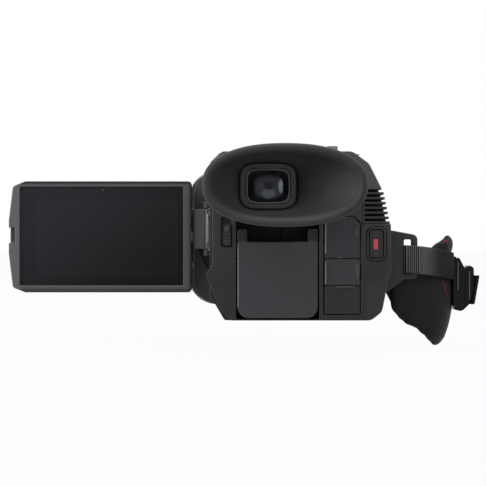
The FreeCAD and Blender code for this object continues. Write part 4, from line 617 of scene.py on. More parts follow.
def dark_glass(name, low, high, tint_low, tint_high, axis="Z", roughness=0.06, specular=0.3,
               glow=0.0):
    """Polished dark glass that lightens to one side, with faint wiping marks and, where glow is set, a
    painted glow.
    """
    material, start = new_material(name, Specular_IOR_Level=specular, Emission_Strength=1.0,
                                   Emission_Color=(glow, glow, glow * 1.25, 1))
    place = start.node("TexCoord", output="Object")
    wipe = start.node("TexNoise", Vector=start.node("Mapping", Vector=place, Scale=(60, 60, 400)),
                      Scale=1.0, Detail=3.0)
    feed(material, Base_Color=place.axis(axis).ease(low, high).blend(tint_low, tint_high),
         Roughness=wipe * 0.08 + (roughness - 0.04))
    return material


frame_low, frame_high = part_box("eyepiece_frame")
window_low, window_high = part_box("evf_window")
frame_middle, frame_half = (frame_low + frame_high) / 2, (frame_high - frame_low) / 2
eyepiece_centre = (frame_middle.x, frame_middle.z)
wide, high = frame_half.x / MM, frame_half.z / MM
face, back = frame_low.y / MM, frame_high.y / MM
view_wide = (window_high.x - window_low.x) / MM / 2
view_high = (window_high.z - window_low.z) / MM / 2
SUNK = window_low.y / MM
frame_layers = [(wide, high, 4.2, back), (wide, high, 4.2, face + 0.9),
                (wide - 0.25, high - 0.25, 4.2, face + 0.3), (wide - 0.8, high - 0.8, 4.2, face),
                (view_wide + 1.0, view_high + 0.8, 4.6, face + 0.3),
                (view_wide + 0.6, view_high + 0.4, 4.6, face + 0.7),
                (view_wide + 0.4, view_high + 0.2, 4.6, SUNK)]
settle(oblong("eyepiece_frame_piece", eyepiece_centre, frame_layers), finder_plastic, "eyepiece_frame")
window_layers = [(view_wide, view_high, 4.6, SUNK + 1.2), (view_wide, view_high, 4.6, SUNK + 0.2),
                 (view_wide - 0.2, view_high - 0.2, 4.6, SUNK)]
# The window glass is painted light and given a faint painted glow, to stand in for light in its shaded
# recess.
settle(oblong("evf_window_piece", eyepiece_centre, window_layers),
       dark_glass("window_glass", window_low.z, window_high.z, (0.13, 0.13, 0.155),
                  (0.16, 0.155, 0.185), specular=0.06, glow=0.011), "evf_window")
# The trim ring is pale grey: partly its own colour, partly painted light, so that it shows as a light line
# round the window from its shaded recess.
trim_layers = [(view_wide + outside, view_high + outside, 4.6, SUNK + depth)
               for outside, depth in ((0.45, -1.7), (0.45, 0.3), (-0.2, 0.3), (-0.2, -1.7), (0.12, -1.95))]
settle(oblong("window_trim", eyepiece_centre, trim_layers, capped=False),
       grained("trim_grey", (0.30, 0.30, 0.31), 0.35), body="viewfinder", slot=slot_of["evf_window"])

# The magnifier: a low dome of coated glass in the window, with soft reflections of its coating painted into
# its colour.
LENS = (8.9, 66.0)
lens_layers = [(7.6 - 7.4 * step ** 1.6, 6.6 - 6.4 * step ** 1.6, 3.4 - 1.2 * step,
                SUNK + 0.3 - 1.0 * math.sin(step * math.pi / 2))
               for step in [part / 12 for part in range(13)]]
magnifier = oblong("magnifier", (LENS[0] * MM, LENS[1] * MM), lens_layers, angle=60)
magnifier_glass, start = new_material("magnifier_glass", Roughness=0.05, Specular_IOR_Level=0.1)
place = start.node("TexCoord", output="Object")
x, z = place.axis("X"), place.axis("Z")


def spot(across, up, half_width, half_height, core=0.0):
    """1 in the middle of an oval patch of the lens and 0 at its edge."""
    off = ((x - (LENS[0] + across) * MM) * (1 / (half_width * MM))) ** 2.0
    return (off + ((z - (LENS[1] + up) * MM) * (1 / (half_height * MM))) ** 2.0).ease(1.0, core)


# Painted reflections: a pale wash over the middle of the lens, a grey-green glow low down, a bright crescent
# at the right, a faint purple patch at the left and a dark middle.
reflection_swirl = start.node("TexNoise", Vector=place, Scale=320.0, Detail=1.0, Distortion=0.8).ease(0.35, 0.65)
tint = spot(0, 0, 7.4, 6.4, 0.6).blend((0.045, 0.044, 0.054), (0.095, 0.095, 0.115))
tint = (spot(0, -3.0, 4.2, 3.2, 0.2) * 0.7).blend(tint, (0.30, 0.36, 0.36))
tint = (spot(6.0, 0.4, 1.6, 4.2) * (reflection_swirl * 0.3 + 0.7)).blend(tint, (0.66, 0.80, 0.98))
tint = (spot(-3.9, 0.6, 1.0, 2.6) * 0.6).blend(tint, (0.17, 0.14, 0.19))
feed(magnifier_glass, Base_Color=spot(0.2, 0.8, 2.9, 2.8, 0.3).blend(tint, (0.035, 0.048, 0.078)))
settle(magnifier, magnifier_glass, body="viewfinder", slot=slot_of["evf_window"])
carry("evf_display", 0.1,
      dark_glass("display_glass", window_low.z, window_high.z, (0.01, 0.01, 0.012), (0.03, 0.034, 0.04)))

# Eyecup: one moulding of black silicone rubber, wide and oval with a rolled rim, that stretches
# over the eyepiece frame. Its horn runs from the squared frame out to the oval rim, which is drawn
# in a little from the CAD cup, and its roll blends into the wall on both sides.
cup_low, cup_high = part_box("eyecup")
cup_low, cup_high = cup_low + mm(1.8, 0, 0), cup_high - mm(0.5, 0, 0)
cup_middle, cup_half = (cup_low + cup_high) / 2, (cup_high - cup_low) / 2
CUP_WALL = 2.0 * MM
RIM = 2.1 * MM
NECK_GAP = 0.12 * MM


def mixed_between(low, high, share):
    return low + (high - low) * share


def horn(share, inside):
    """One section of the horn: 0 at the seat on the frame, 1 at the rim."""
    spread = 0.12 * share + 0.88 * share ** 2.3
    wall = CUP_WALL + (2 * RIM - CUP_WALL) * max(0, (share - 0.72) / 0.28) ** 2 if inside else 0
    half_width = mixed_between(frame_half.x + NECK_GAP + CUP_WALL, cup_half.x, spread) - wall
    half_height = mixed_between(frame_half.z + NECK_GAP + CUP_WALL, cup_half.z, spread) - wall
    middle = (mixed_between(frame_middle.x, cup_middle.x, spread),
              mixed_between(frame_middle.z, cup_middle.z, spread))
    return oval(middle, half_width, half_height, mixed_between(4.2, 2.3, share ** 0.6),
                mixed_between(cup_high.y, cup_low.y + RIM, share))


STEPS = 30
outside = [horn(step / STEPS, False) for step in range(STEPS + 1)]
inside = [horn(step / STEPS, True) for step in range(STEPS, -1, -1)]
roll = [oval((cup_middle.x, cup_middle.z), cup_half.x - RIM + RIM * math.cos(turn),
             cup_half.z - RIM + RIM * math.cos(turn), 2.3, cup_low.y + RIM - RIM * math.sin(turn))
        for turn in [math.pi * part / 12 for part in range(1, 12)]]
eyecup = skinned("eyecup_piece", outside + roll + inside)
cup_rubber, start = new_material("cup_rubber", Specular_IOR_Level=0.2, Sheen_Weight=0.05,
                                 Sheen_Roughness=0.5)
place = start.node("TexCoord", output="Object")
grain = start.node("TexNoise", Vector=place, Scale=2400.0, Detail=3.0)
bloom = start.node("TexNoise", Vector=place, Scale=32.0, Detail=5.0, Roughness=0.6)
dust = start.node("TexNoise", Vector=place, Scale=1700.0, Detail=1.0).ease(0.70, 0.78)
tint = bloom.blend((0.024, 0.024, 0.025), (0.036, 0.036, 0.038))
# Painted light: the inside of the cup lightens towards the frame, where its walls shade it.
tint = place.axis("Y").ease(-124 * MM, -108 * MM).blend(tint, (0.058, 0.058, 0.060))
# Painted light: the cup lightens below about 52 mm, where light from above falls on the lower rim.
tint = (place.axis("Z").ease(54 * MM, 49 * MM) * 0.7).blend(tint, (0.052, 0.052, 0.054))
feed(cup_rubber, Base_Color=(dust * 0.25).blend(tint, (0.12, 0.12, 0.12)),
     Roughness=bloom * 0.16 + 0.55,
     Normal=start.node("Bump", Height=grain, Strength=0.3, Distance=0.00008))
settle(eyecup, cup_rubber, "eyecup")

# Screen: a curved back shell, a satin grey bezel and the glass, which has a black printed border
# round its picture area and a small light sensor above it. The panel swings and tilts.
glass_low, glass_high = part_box("lcd_glass")
panel_plastic = grained("panel_plastic", (0.024, 0.024, 0.026), 0.36, 0.2, 0.35)
carry("lcd_back_shell", 1.1, panel_plastic, 3)
bezel_satin, start = new_material("bezel_satin", Specular_IOR_Level=0.35)
place = start.node("TexCoord", output="Object")
x, z = place.axis("X"), place.axis("Z")
# The land beside the glass carries a painted highlight, as it catches light from above: paler than the outer
# edge, and palest at the free end. The outer edge above the glass is darker.
BLUR = 0.15 * MM
land = (x.ease(glass_high.x + 3.0 * MM + BLUR, glass_high.x + 3.0 * MM - BLUR)
        * z.ease(glass_high.z + 1.7 * MM + BLUR, glass_high.z + 1.7 * MM - BLUR)
        * z.ease(glass_low.z - 1.9 * MM - BLUR, glass_low.z - 1.9 * MM + BLUR))
sheen = start.node("TexNoise", Vector=place, Scale=25.0, Detail=3.0)
free_end = x.ease(glass_low.x + 1.0 * MM, glass_low.x - 1.0 * MM)
rim = z.ease(glass_high.z + 1.6 * MM, glass_high.z + 2.2 * MM)
rim = rim.blend((0.026, 0.026, 0.027), (0.006, 0.006, 0.006))
pale = free_end.blend((0.066, 0.066, 0.068), (0.100, 0.100, 0.104))
feed(bezel_satin, Base_Color=land.blend(rim, pale),
     Roughness=sheen * 0.1 + 0.3,
     Normal=start.node("Bump", Height=start.node("TexNoise", Vector=place, Scale=2600.0), Strength=0.12,
                       Distance=0.00005))
carry("lcd_bezel", 0.5, bezel_satin, 3)
glass = block("lcd_glass_piece", glass_low, glass_high)
inset_faces(glass, lambda middle, normal: normal.y < -0.9, (0.3 * MM, 0.0))
soften(glass, 0.12 * MM)
screen_glass, start = new_material("screen_glass", Specular_IOR_Level=0.1)
place = start.node("TexCoord", output="Object")
x, z = place.axis("X"), place.axis("Z")
# Painted reflection: the glass is lighter towards its upper left and darker towards its lower right.
fall = ((x - glass_low.x) * (0.55 / (glass_high.x - glass_low.x))
        + (glass_high.z - z) * (0.45 / (glass_high.z - glass_low.z)))
PICTURE = (-115.7 * MM, -38.7 * MM, 19.8 * MM, 63.2 * MM)
EDGE = 0.25 * MM
shown = (x.ease(PICTURE[0] - EDGE, PICTURE[0] + EDGE) * x.ease(PICTURE[1] + EDGE, PICTURE[1] - EDGE)
         * z.ease(PICTURE[2] - EDGE, PICTURE[2] + EDGE) * z.ease(PICTURE[3] + EDGE, PICTURE[3] - EDGE))
reflection_gradient = fall.ease(0.1, 1.0).blend((0.017, 0.019, 0.023), (0.003, 0.003, 0.003))
wipes = start.node("TexNoise", Vector=start.node("Mapping", Vector=place, Scale=(40, 40, 220),
                                                 Rotation=(0, 0.5, 0)), Scale=1.0, Detail=4.0)
feed(screen_glass, Base_Color=(shown * 0.07).blend(reflection_gradient, (0.05, 0.052, 0.056)),
     Roughness=wipes.ease(0.5, 0.8) * 0.08 + 0.06)
settle(glass, screen_glass, "lcd_glass")
sensor = disc("panel_sensor", Vector((-79.4 * MM, glass_low.y - 0.02 * MM, glass_high.z - 1.6 * MM)),
              0.45 * MM, 0.1 * MM, "Y", 16)
inset_faces(sensor, lambda middle, normal: normal.y < -0.9, (0.15 * MM, -0.04 * MM))
settle(sensor, grained("sensor_grey", (0.09, 0.09, 0.1), 0.3), body="lcd_panel", slot=slot_of["lcd_glass"])

# Screen hinge: a block on a steel pin between two lugs, with a bright sleeve let into its barrel, a
# pin cap below that, and the tilt shaft that enters the panel.
hinge_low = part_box("lcd_hinge_block")[0]
hinge_plastic = grained("hinge_plastic", (0.016, 0.0165, 0.017), 0.38, 0.2, 0.35)
carry("lcd_hinge_block", 0.5, hinge_plastic, 3)
pin_low, pin_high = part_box("lcd_hinge_pin")
sleeve_middle = Vector(((pin_low.x + pin_high.x) / 2 - 0.4 * MM, hinge_low.y + 1.1 * MM, 46.8 * MM))
sleeve = disc("hinge_sleeve", sleeve_middle + mm(0, 0.4, 0), 1.7 * MM, 15.6 * MM, "Z", 40)
soften(sleeve, 0.3 * MM)
settle(sleeve, metal("sleeve_steel", (0.11, 0.11, 0.115), 0.34, (90, 90, 900)), body="lcd_arm",
       slot=slot_of["lcd_hinge_block"])
carry("lcd_hinge_lugs", 0.4, housing_plastic)
carry("lcd_hinge_pin", 0.1, metal("hinge_steel", (0.5, 0.5, 0.51), 0.28))
carry("lcd_tilt_shaft", 0.2, metal("shaft_steel", (0.3, 0.3, 0.31), 0.35))
cap_middle = Vector((sleeve_middle.x, hinge_low.y + 0.07 * MM, 37.3 * MM))
pin_cap = sunk_ring("hinge_pin_cap", cap_middle, 1.5 * MM, "Y", (0, -1, 0))
settle(pin_cap, metal("cap_steel", (0.16, 0.16, 0.165), 0.35), body="lcd_arm",
       slot=slot_of["lcd_hinge_block"])

# Battery: a welded two-part case of smoother, slightly blue-grey plastic that slides up its rails;
# its back is the rear face of the camera. Gold contacts meet it deep in the bay.
carry("battery_pack", 0.7, grained("battery_plastic", (0.033, 0.034, 0.039), 0.34, 0.2, 0.32), 4)
battery_low, battery_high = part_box("battery_pack")
LEDGE = 39.4 * MM
left_ear = block("ear_cap", (battery_low.x + 0.2 * MM, battery_low.y - 0.12 * MM, LEDGE + 0.35 * MM),
                 (battery_low.x + 4.6 * MM, battery_low.y + 0.4 * MM, battery_high.z - 0.2 * MM))
soften(left_ear, 0.15 * MM)
right_ear = copy_of(left_ear, "ear_cap", (battery_high.x - battery_low.x - 4.8 * MM, 0, 0))
settle(joined([left_ear, right_ear], "battery_ear_caps"), grained("ear_black", (0.008, 0.008, 0.009), 0.5),
       body="battery_body", slot=slot_of["battery_pack"])
# Painted highlights: thin pale strips along the battery's left edge, where it catches the light.
edges = [block("edge_highlight_strip", (battery_low.x + 0.12 * MM, battery_low.y + 0.05 * MM, low * MM),
               (battery_low.x + 0.5 * MM, battery_low.y + 0.5 * MM, high * MM))
         for low, high in ((7.2, 38.9), (40.2, 44.8))]
for edge in edges:
    soften(edge, 0.12 * MM)
settle(joined(edges, "battery_edge_highlights"), grained("edge_highlight_grey", (0.40, 0.40, 0.41), 0.3),
       body="battery_body", slot=slot_of["battery_pack"])
carry("battery_terminal", 0.3, grained("terminal_black", (0.01, 0.01, 0.01), 0.45))
terminal_low, terminal_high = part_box("battery_terminal")
contact = block("contact", (terminal_low.x + 3 * MM, terminal_low.y - 0.12 * MM, terminal_low.z + 6 * MM),
                (terminal_low.x + 4.2 * MM, terminal_low.y + 0.2 * MM, terminal_high.z - 6 * MM))
soften(contact, 0.1 * MM)
contacts = [copy_of(contact, "contact", mm(step * 5.0, 0, 0)) for step in range(5)]
bpy.data.objects.remove(contact)
settle(joined(contacts, "battery_contacts"), metal("contact_gold", (0.75, 0.52, 0.2), 0.25, (90, 90, 900)),
       body="camera_body", slot="steel")

# Battery release: a sprung slider with a ribbed thumb pad, in a shallow channel of the left column.
release_low, release_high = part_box("battery_release")
release = block("battery_release_piece", release_low, release_high)
bpy.ops.object.mode_set(mode="EDIT")
pick(release, "EDGE", lambda middle, line: abs(line.y) > 0.9)
bpy.ops.mesh.bevel(offset=0.7 * MM, segments=4)
pick(release, "FACE", lambda middle, normal: normal.y < -0.9)
bpy.ops.mesh.inset(thickness=0.35 * MM, depth=0.0)
bpy.ops.mesh.inset(thickness=0.15 * MM, depth=-0.2 * MM)
bpy.ops.object.mode_set(mode="OBJECT")
soften(release, 0.1 * MM)
RIB_PITCH = 1.2 * MM
rib = block("release_rib", (release_low.x + 0.75 * MM, release_low.y - 0.15 * MM, release_low.z + 1.0 * MM),
            (release_high.x - 0.75 * MM, release_low.y + 0.5 * MM, release_low.z + 1.45 * MM))
soften(rib, 0.15 * MM)
ribs = [copy_of(rib, "release_rib", (0, 0, number * RIB_PITCH)) for number in range(6)]
bpy.data.objects.remove(rib)
cap = sunk_ring("release_cap", Vector(((release_low.x + release_high.x) / 2, release_low.y - 0.1 * MM,
                                       release_high.z - 2.1 * MM)), 1.35 * MM, "Y", (0, -1, 0))
settle(release, grained("release_black", (0.009, 0.009, 0.010), 0.4), "battery_release")
# The ribs and the cap ring are paler than the slider: painted highlights on their raised edges.
settle(joined(ribs + [cap], "battery_release_ribs"), grained("release_highlight_grey", (0.050, 0.050, 0.052), 0.36),
       body="battery_release_body", slot=slot_of["battery_release"])

# Port covers: three soft-hinged flaps over moulded sockets, each with a tab for a fingernail.
cover_finish = {
    "port_cover_upper": grained("upper_cover_plastic", (0.023, 0.025, 0.029), 0.4, 0.25),
    "port_cover_middle": grained("middle_cover_plastic", (0.031, 0.032, 0.037), 0.4, 0.25),
    "port_cover_lower": grained("lower_cover_plastic", (0.013, 0.013, 0.0145), 0.44, 0.25),
}
for node, finish in cover_finish.items():
    carry(node, 0.28, finish, 2)
# Painted highlights: thin pale strips along the edges of each fingernail tab, where they catch the light.
TAB_HIGHLIGHTS = {"cover_upper_body": ((52.1, 41.8, 52.5, 47.2), (42.7, 31.5, 45.2, 31.9)),
            "cover_middle_body": ((52.8, 20.6, 53.2, 27.3), (42.7, 30.2, 45.2, 30.6)),
            "cover_lower_body": ((42.1, 17.0, 51.7, 17.4),)}
tab_highlight_grey = grained("tab_highlight_grey", (0.10, 0.10, 0.103), 0.34, 0.2)
for flap, rims in TAB_HIGHLIGHTS.items():
    node = flap.replace("cover_", "port_cover_").replace("_body", "")
    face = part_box(node)[0].y
    pieces = [block("tab_highlight_strip", (left * MM, face - 0.08 * MM, low * MM),
                    (right * MM, face + 0.2 * MM, high * MM)) for left, low, right, high in rims]
    for rim in pieces:
        soften(rim, 0.1 * MM)
    settle(joined(pieces, f"{node}_tab_highlights"), tab_highlight_grey, body=flap, slot=slot_of[node])
rod_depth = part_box("port_cover_upper")[0].y + 0.12 * MM
rods = [disc("flap_rod", (37.25 * MM, rod_depth, (low + high) / 2 * MM), 0.3 * MM,
             (high - low) * MM, "Z", 16)
        for low, high in ((33.5, 51.0), (18.6, 29.2))]
settle(joined(rods, "flap_rods"), metal("rod_steel", (0.16, 0.16, 0.165), 0.35, (90, 90, 900)),
       body="camera_body", slot="steel")
socket_metal = metal("socket_metal", (0.35, 0.35, 0.36), 0.35)
for node in ("port_socket_upper", "port_socket_middle", "port_socket_lower"):
    carry(node, 0.15, socket_metal)

# Recording button: a dark button in a raised rounded bezel, with an inlaid red bar at its middle and
# a fine raised dash above and below the bar.
carry("start_stop_bezel", 0.35, grained("bezel_black", (0.014, 0.014, 0.015), 0.34, 0.15), 3)
button_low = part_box("start_stop_button")[0]
carry("start_stop_button", 0.45, grained("button_black", (0.011, 0.011, 0.012), 0.38, 0.15), 3)
mark = block("red_bar", (60.8 * MM, button_low.y - 0.06 * MM, 35.6 * MM),
             (63.0 * MM, button_low.y + 0.25 * MM, 40.6 * MM))
soften(mark, 0.1 * MM, 3)
red_plastic, start = new_material("red_plastic", Specular_IOR_Level=0.3)
place = start.node("TexCoord", output="Object")
cloud = start.node("TexNoise", Vector=place, Scale=260.0, Detail=3.0)
feed(red_plastic, Base_Color=cloud.blend((0.50, 0.060, 0.070), (0.62, 0.095, 0.11)),
     Roughness=cloud * 0.1 + 0.32,
     Normal=start.node("Bump", Height=start.node("TexNoise", Vector=place, Scale=3000.0), Strength=0.15,
                       Distance=0.00005))
settle(mark, red_plastic, body="start_stop_body", slot=slot_of["start_stop_button"])
dashes = []
for height in (33.6, 42.6):
    dash = block("dash", (61.2 * MM, button_low.y - 0.05 * MM, (height - 0.35) * MM),
                 (62.8 * MM, button_low.y + 0.2 * MM, (height + 0.35) * MM))
    soften(dash, 0.1 * MM)
    dashes.append(dash)
settle(joined(dashes, "button_dashes"), grained("dash_grey", (0.05, 0.05, 0.052), 0.4),
       body="start_stop_body", slot=slot_of["start_stop_button"])

# Air outlet: deep fins moulded in one with the grip's upper rear corner.
carry("vent_fins", 0.2, grained("fin_plastic", (0.017, 0.017, 0.018), 0.5))

# Top of the grip: a rocking zoom key, the photo button in its ring, and the accessory shoe of
# black-plated steel.
carry("zoom_rocker", 0.5, key_plastic, 3)
carry("photo_button", 0.3, metal("button_chrome", (0.3, 0.3, 0.31), 0.3, (90, 900, 900)), 3)
photo_low, photo_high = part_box("photo_button")
ring = disc("photo_ring", Vector(((photo_low.x + photo_high.x) / 2, (photo_low.y + photo_high.y) / 2,
                                  84.25 * MM)), 4.6 * MM, 0.7 * MM, "Z", 48)
bpy.ops.object.mode_set(mode="EDIT")
pick(ring, "FACE", lambda middle, normal: abs(normal.z) > 0.9)
bpy.ops.mesh.delete(type="FACE")
bpy.ops.object.mode_set(mode="OBJECT")
finish_with(ring, "SOLIDIFY", thickness=0.9 * MM, offset=-1)
soften(ring, 0.18 * MM)
settle(ring, metal("ring_plate", (0.22, 0.22, 0.23), 0.35), body="camera_body", slot="steel")
carry("accessory_shoe", 0.25, metal("shoe_plate", (0.21, 0.21, 0.215), 0.42, (90, 900, 90)))

# Microphone: two rows of slots at the front of the top cover, over black gauze.
top_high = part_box("top_cover")[1]
slot = block("mic_slot", (-8 * MM, top_high.y - 13 * MM, top_high.z - 0.05 * MM),
             (-7.2 * MM, top_high.y - 7 * MM, top_high.z + 0.12 * MM))
inset_faces(slot, lambda middle, normal: normal.z > 0.9, (0.18 * MM, -0.1 * MM))
slots = [copy_of(slot, "mic_slot", mm(1.9 * number, -8 * row, 0)) for number in range(16) for row in (0, 1)]
bpy.data.objects.remove(slot)
settle(joined(slots, "microphone_slots"), grained("gauze_black", (0.008, 0.008, 0.008), 0.7, 0.4, 0.15),
       body="camera_body", slot="housing")

# Screen-side bay: three domed keys, a sliding switch with a ridge, and the card door.
for number in (1, 2, 3):
    carry(f"bay_button_{number}", 0.35, key_plastic, 3)
settle(ribbed_key("mode_switch", "Y", "-X", 3, 0.7, 0.1, 1.6), key_plastic, "mode_switch")
carry("card_door", 0.3, grained("door_plastic", (0.02, 0.02, 0.022), 0.42))

# Hand strap, 1: two slotted brackets of glass-filled nylon that screw to the grip.
bracket_nylon = grained("bracket_nylon", (0.027, 0.027, 0.029), 0.5, 0.35)
for node in ("strap_bracket_rear", "strap_bracket_front"):
    carry(node, 0.6, bracket_nylon, 3)
# Hand strap, 2: the padded palm rest, a sewn shell of woven nylon over foam that bows out from
# bracket to bracket and curls in under the hand. It is plumped as its filling plumps it.
# Each point is a place along the middle of the pad in plan, then its lower and its upper edge there.
PAD_LINE = ((71.0, -35.5, 4.0, 30.0), (77.5, -31.5, -2.2, 32.6), (84.0, -27.6, -6.0, 34.2),
            (91.0, -23.2, -10.4, 35.9), (96.4, -19.4, -13.6, 39.2), (101.0, -14.4, -15.5, 43.6),
            (103.7, -6.0, -15.7, 43.9), (103.8, 2.0, -15.7, 43.5), (101.8, 9.5, -14.4, 40.4),
            (95.0, 15.2, -9.6, 36.8), (86.0, 20.3, -3.8, 36.4), (78.0, 25.0, 2.6, 36.4),
            (73.0, 28.2, 8.4, 36.4))
PAD_HALF = 3.2
CURL = 5.0
WAIST = 2.4
LOBE = 1.6


def curve_through(points, share):
    """A point on the smooth curve through these points, at a share of the way along."""
    last = len(points) - 1
    at = min(share * last, last - 1e-6)
    index = int(at)
    near = [Vector(points[max(0, min(last, index + offset))]) for offset in (-1, 0, 1, 2)]
    t = at - index
    return 0.5 * (2 * near[1] + (near[2] - near[0]) * t
                  + (2 * near[0] - 5 * near[1] + 4 * near[2] - near[3]) * t ** 2
                  + (3 * near[1] - near[0] - 3 * near[2] + near[3]) * t ** 3)


def pad_outward(share):
    """The direction in plan that the outside of the pad faces, at a share of the way along."""
    ahead = curve_through(PAD_LINE, min(1, share + 0.01)) - curve_through(PAD_LINE, max(0, share - 0.01))
    return Vector((ahead.y, -ahead.x)).normalized()


def pad_section(share):
    """One section across the pad: thin at its sewn edges, curled in below, drawn in by the webbing."""
    x, y, low, high = curve_through(PAD_LINE, share)
    out = pad_outward(share)
    close = 1 - min(1, min(share, 1 - share) / 0.05)
    half = (high - low) / 2 * (1 - 0.10 * close ** 2)
    middle = (low + high) / 2
    thin = PAD_HALF * (1 - 0.45 * close ** 2)
    points = []
    for step in range(64):
        turn = 2 * math.pi * step / 64
        c, s = math.cos(turn), math.sin(turn)
        z = middle + half * math.copysign(abs(s) ** 0.55, s)
        curl = CURL * (max(0, 8 - z) / 23) ** 2 * min(1, max(0, (x - 80) / 20))
        curl += WAIST * max(0, 1 - ((z - 28) / 6) ** 4) * min(1, max(0, (x - 88) / 12))
        curl -= LOBE * max(0, 1 - ((z - 39.5) / 6) ** 2) * min(1, max(0, (x - 97) / 4))
        side = thin * math.copysign(abs(c) ** 0.55, c)
        points.append((MM * (x + out.x * side - curl), MM * (y + out.y * side), MM * z))
    return points


strap_pad = skinned("strap_pad_piece", [pad_section(step / 60) for step in range(61)], capped=True)


def plump(piece, voxel, pressure, most):
    """Swell a closed soft shape by a short cloth simulation, no point moving further than most."""
    only(piece)
    piece.data.remesh_voxel_size = voxel
    bpy.ops.object.voxel_remesh()
    cloth = piece.modifiers.new("filling", "CLOTH")
    cloth.settings.use_pressure = True
    cloth.settings.uniform_pressure_force = pressure
    cloth.settings.effector_weights.gravity = 0
    for moment in range(1, 21):
        bpy.context.scene.frame_set(moment)
    swollen = piece.evaluated_get(bpy.context.evaluated_depsgraph_get()).data
    moves = [new.co - old.co for new, old in zip(swollen.vertices, piece.data.vertices)]
    piece.modifiers.remove(cloth)
    for corner, move in zip(piece.data.vertices, moves):
        corner.co += move * min(1, most / max(move.length, 1e-9))
    bpy.context.scene.frame_set(1)
    finish_with(piece, "SMOOTH", factor=0.5, iterations=5)
    finish_with(piece, "SUBSURF", levels=1, render_levels=1)
    finish_with(piece, "SMOOTH", factor=0.5, iterations=6)
    bpy.ops.object.shade_smooth()


plump(strap_pad, 4 * MM, 4, 1.2 * MM)
pad_cloth, start = new_material("pad_cloth", Specular_IOR_Level=0.12, Sheen_Weight=0.03,
                                Sheen_Roughness=0.4)
place = start.node("TexCoord", output="Object")
thread = 1 / (0.75 * MM)
x, y, z = (place.axis(letter) * thread for letter in "XYZ")
over = ((x + y) * 0.9).math("SINE") * (z * 3.1).math("SINE")
weave = over * 0.5 + 0.5
wear = start.node("TexNoise", Vector=place, Scale=26.0, Detail=5.0, Roughness=0.65)
feed(pad_cloth, Base_Color=wear.blend(weave.blend((0.0065, 0.0070, 0.0075), (0.0100, 0.0105, 0.0110)),
                                      weave.blend((0.0120, 0.0125, 0.0130), (0.0165, 0.0170, 0.0175))),
     Roughness=weave * 0.08 + 0.6,
     Normal=start.node("Bump", Height=weave, Strength=0.2, Distance=0.00006))
settle(strap_pad, pad_cloth, "strap_pad")

# Its sewing: a dark lock stitch beside the lower edge, and red stitches where the back of the pad is
# closed and on the lobe at its top.
bpy.context.view_layer.update()


def stitch(along, out, place, length, width):
    """One sewn stitch: a short rounded bar that dips into the cloth at both ends."""
    bpy.ops.object.select_all(action="DESELECT")
    bpy.ops.mesh.primitive_cylinder_add(vertices=8, radius=width / 2, depth=length, location=(0, 0, 0))
    bar = bpy.context.object
    bpy.ops.object.mode_set(mode="EDIT")
    pick(bar, "EDGE", lambda middle, line: abs(line.z) > 0.9)
    bpy.ops.mesh.subdivide(number_cuts=3)
    pick(bar, "FACE", lambda middle, normal: abs(normal.z) > 0.9)
    bpy.ops.mesh.inset(thickness=width * 0.2, depth=width * 0.12)
    bpy.ops.object.mode_set(mode="OBJECT")
    for corner in bar.data.vertices:
        corner.co.x -= width * 0.5 * (2 * corner.co.z / length) ** 2
    side = out.cross(along).normalized()
    turn = Matrix((out.normalized(), side, along.normalized())).transposed().to_4x4()
    bar.data.transform(Matrix.Translation(place) @ turn)
    return bar


def sewn(name, piece, aims, length, width):
    """A row of stitches. Each aim is a starting point and the direction in which it meets the piece."""
    bars, spots = [], []
    for origin, direction in aims:
        hit, spot, normal, _ = piece.ray_cast(Vector(origin), Vector(direction).normalized())
        if hit:
            spots.append((spot, normal))
    for (here, normal), (ahead, _) in zip(spots, spots[1:]):
        along = (ahead - here).normalized()
        out = (normal - along * normal.dot(along)).normalized()
        bars.append(stitch(along, out, (here + ahead) / 2 + out * width * 0.2, length, width))
    row = joined(bars, name)
    only(row)
    bpy.ops.object.shade_smooth()
    return row


edge_aims = []
for step in range(70):
    share = 0.04 + 0.56 * step / 69
    x, y, low, high = curve_through(PAD_LINE, share)
    out = pad_outward(share)
    edge_aims.append((mm(x + 40 * out.x, y + 40 * out.y, low + 5.5), (-out.x, -out.y, 0)))
thread_black = grained("thread_black", (0.022, 0.022, 0.023), 0.6, 0.5, 0.15)
settle(sewn("pad_edge_stitches", strap_pad, edge_aims, 0.9 * MM, 0.4 * MM), thread_black,
       body="camera_body", slot=slot_of["strap_pad"])
thread_red = grained("thread_red", (0.32, 0.035, 0.05), 0.6, 0.5, 0.15)
BACKWARD = (0, 1, 0)
RED_ROWS = (((100.2, 19.6), (102.8, 11.6), 9), ((100.4, 38.8), (104.2, 40.6), 4),
            ((101.2, 40.4), (103.6, 38.6), 3))
red_rows = []
for first, last, parts in RED_ROWS:
    aims = [(mm(first[0] + (last[0] - first[0]) * step / parts, -100,
                first[1] + (last[1] - first[1]) * step / parts), BACKWARD) for step in range(parts + 1)]
    length = 0.72 * math.dist(first, last) / parts * MM
    red_rows.append(sewn("pad_red_row", strap_pad, aims, length, 0.6 * MM))
settle(joined(red_rows, "pad_red_stitches"), thread_red, body="camera_body", slot=slot_of["strap_pad"])

# Hand strap, 3: ribbed nylon webbing round both brackets and over the pad, its plastic ladder
# buckle and hooked keeper on the outside, and the free tail.


def rounded_corner(before, here, after, radius, step=None):
    """Points along the arc that rounds a corner: at about this step, or six of them apart."""
    back, on = (before - here).normalized(), (after - here).normalized()
    half = back.angle(on) / 2
    centre = here + (back + on).normalized() * radius / math.sin(half)
    reach = radius / math.tan(half)
    first, last = here + back * reach - centre, here + on * reach - centre
    sweep = first.angle(last)
    parts = max(2, int(sweep * radius / step)) if step else 6
    shares = [part / parts for part in range(parts + 1)]
    return [centre + (first * math.sin((1 - share) * sweep) + last * math.sin(share * sweep))
            / math.sin(sweep) for share in shares]


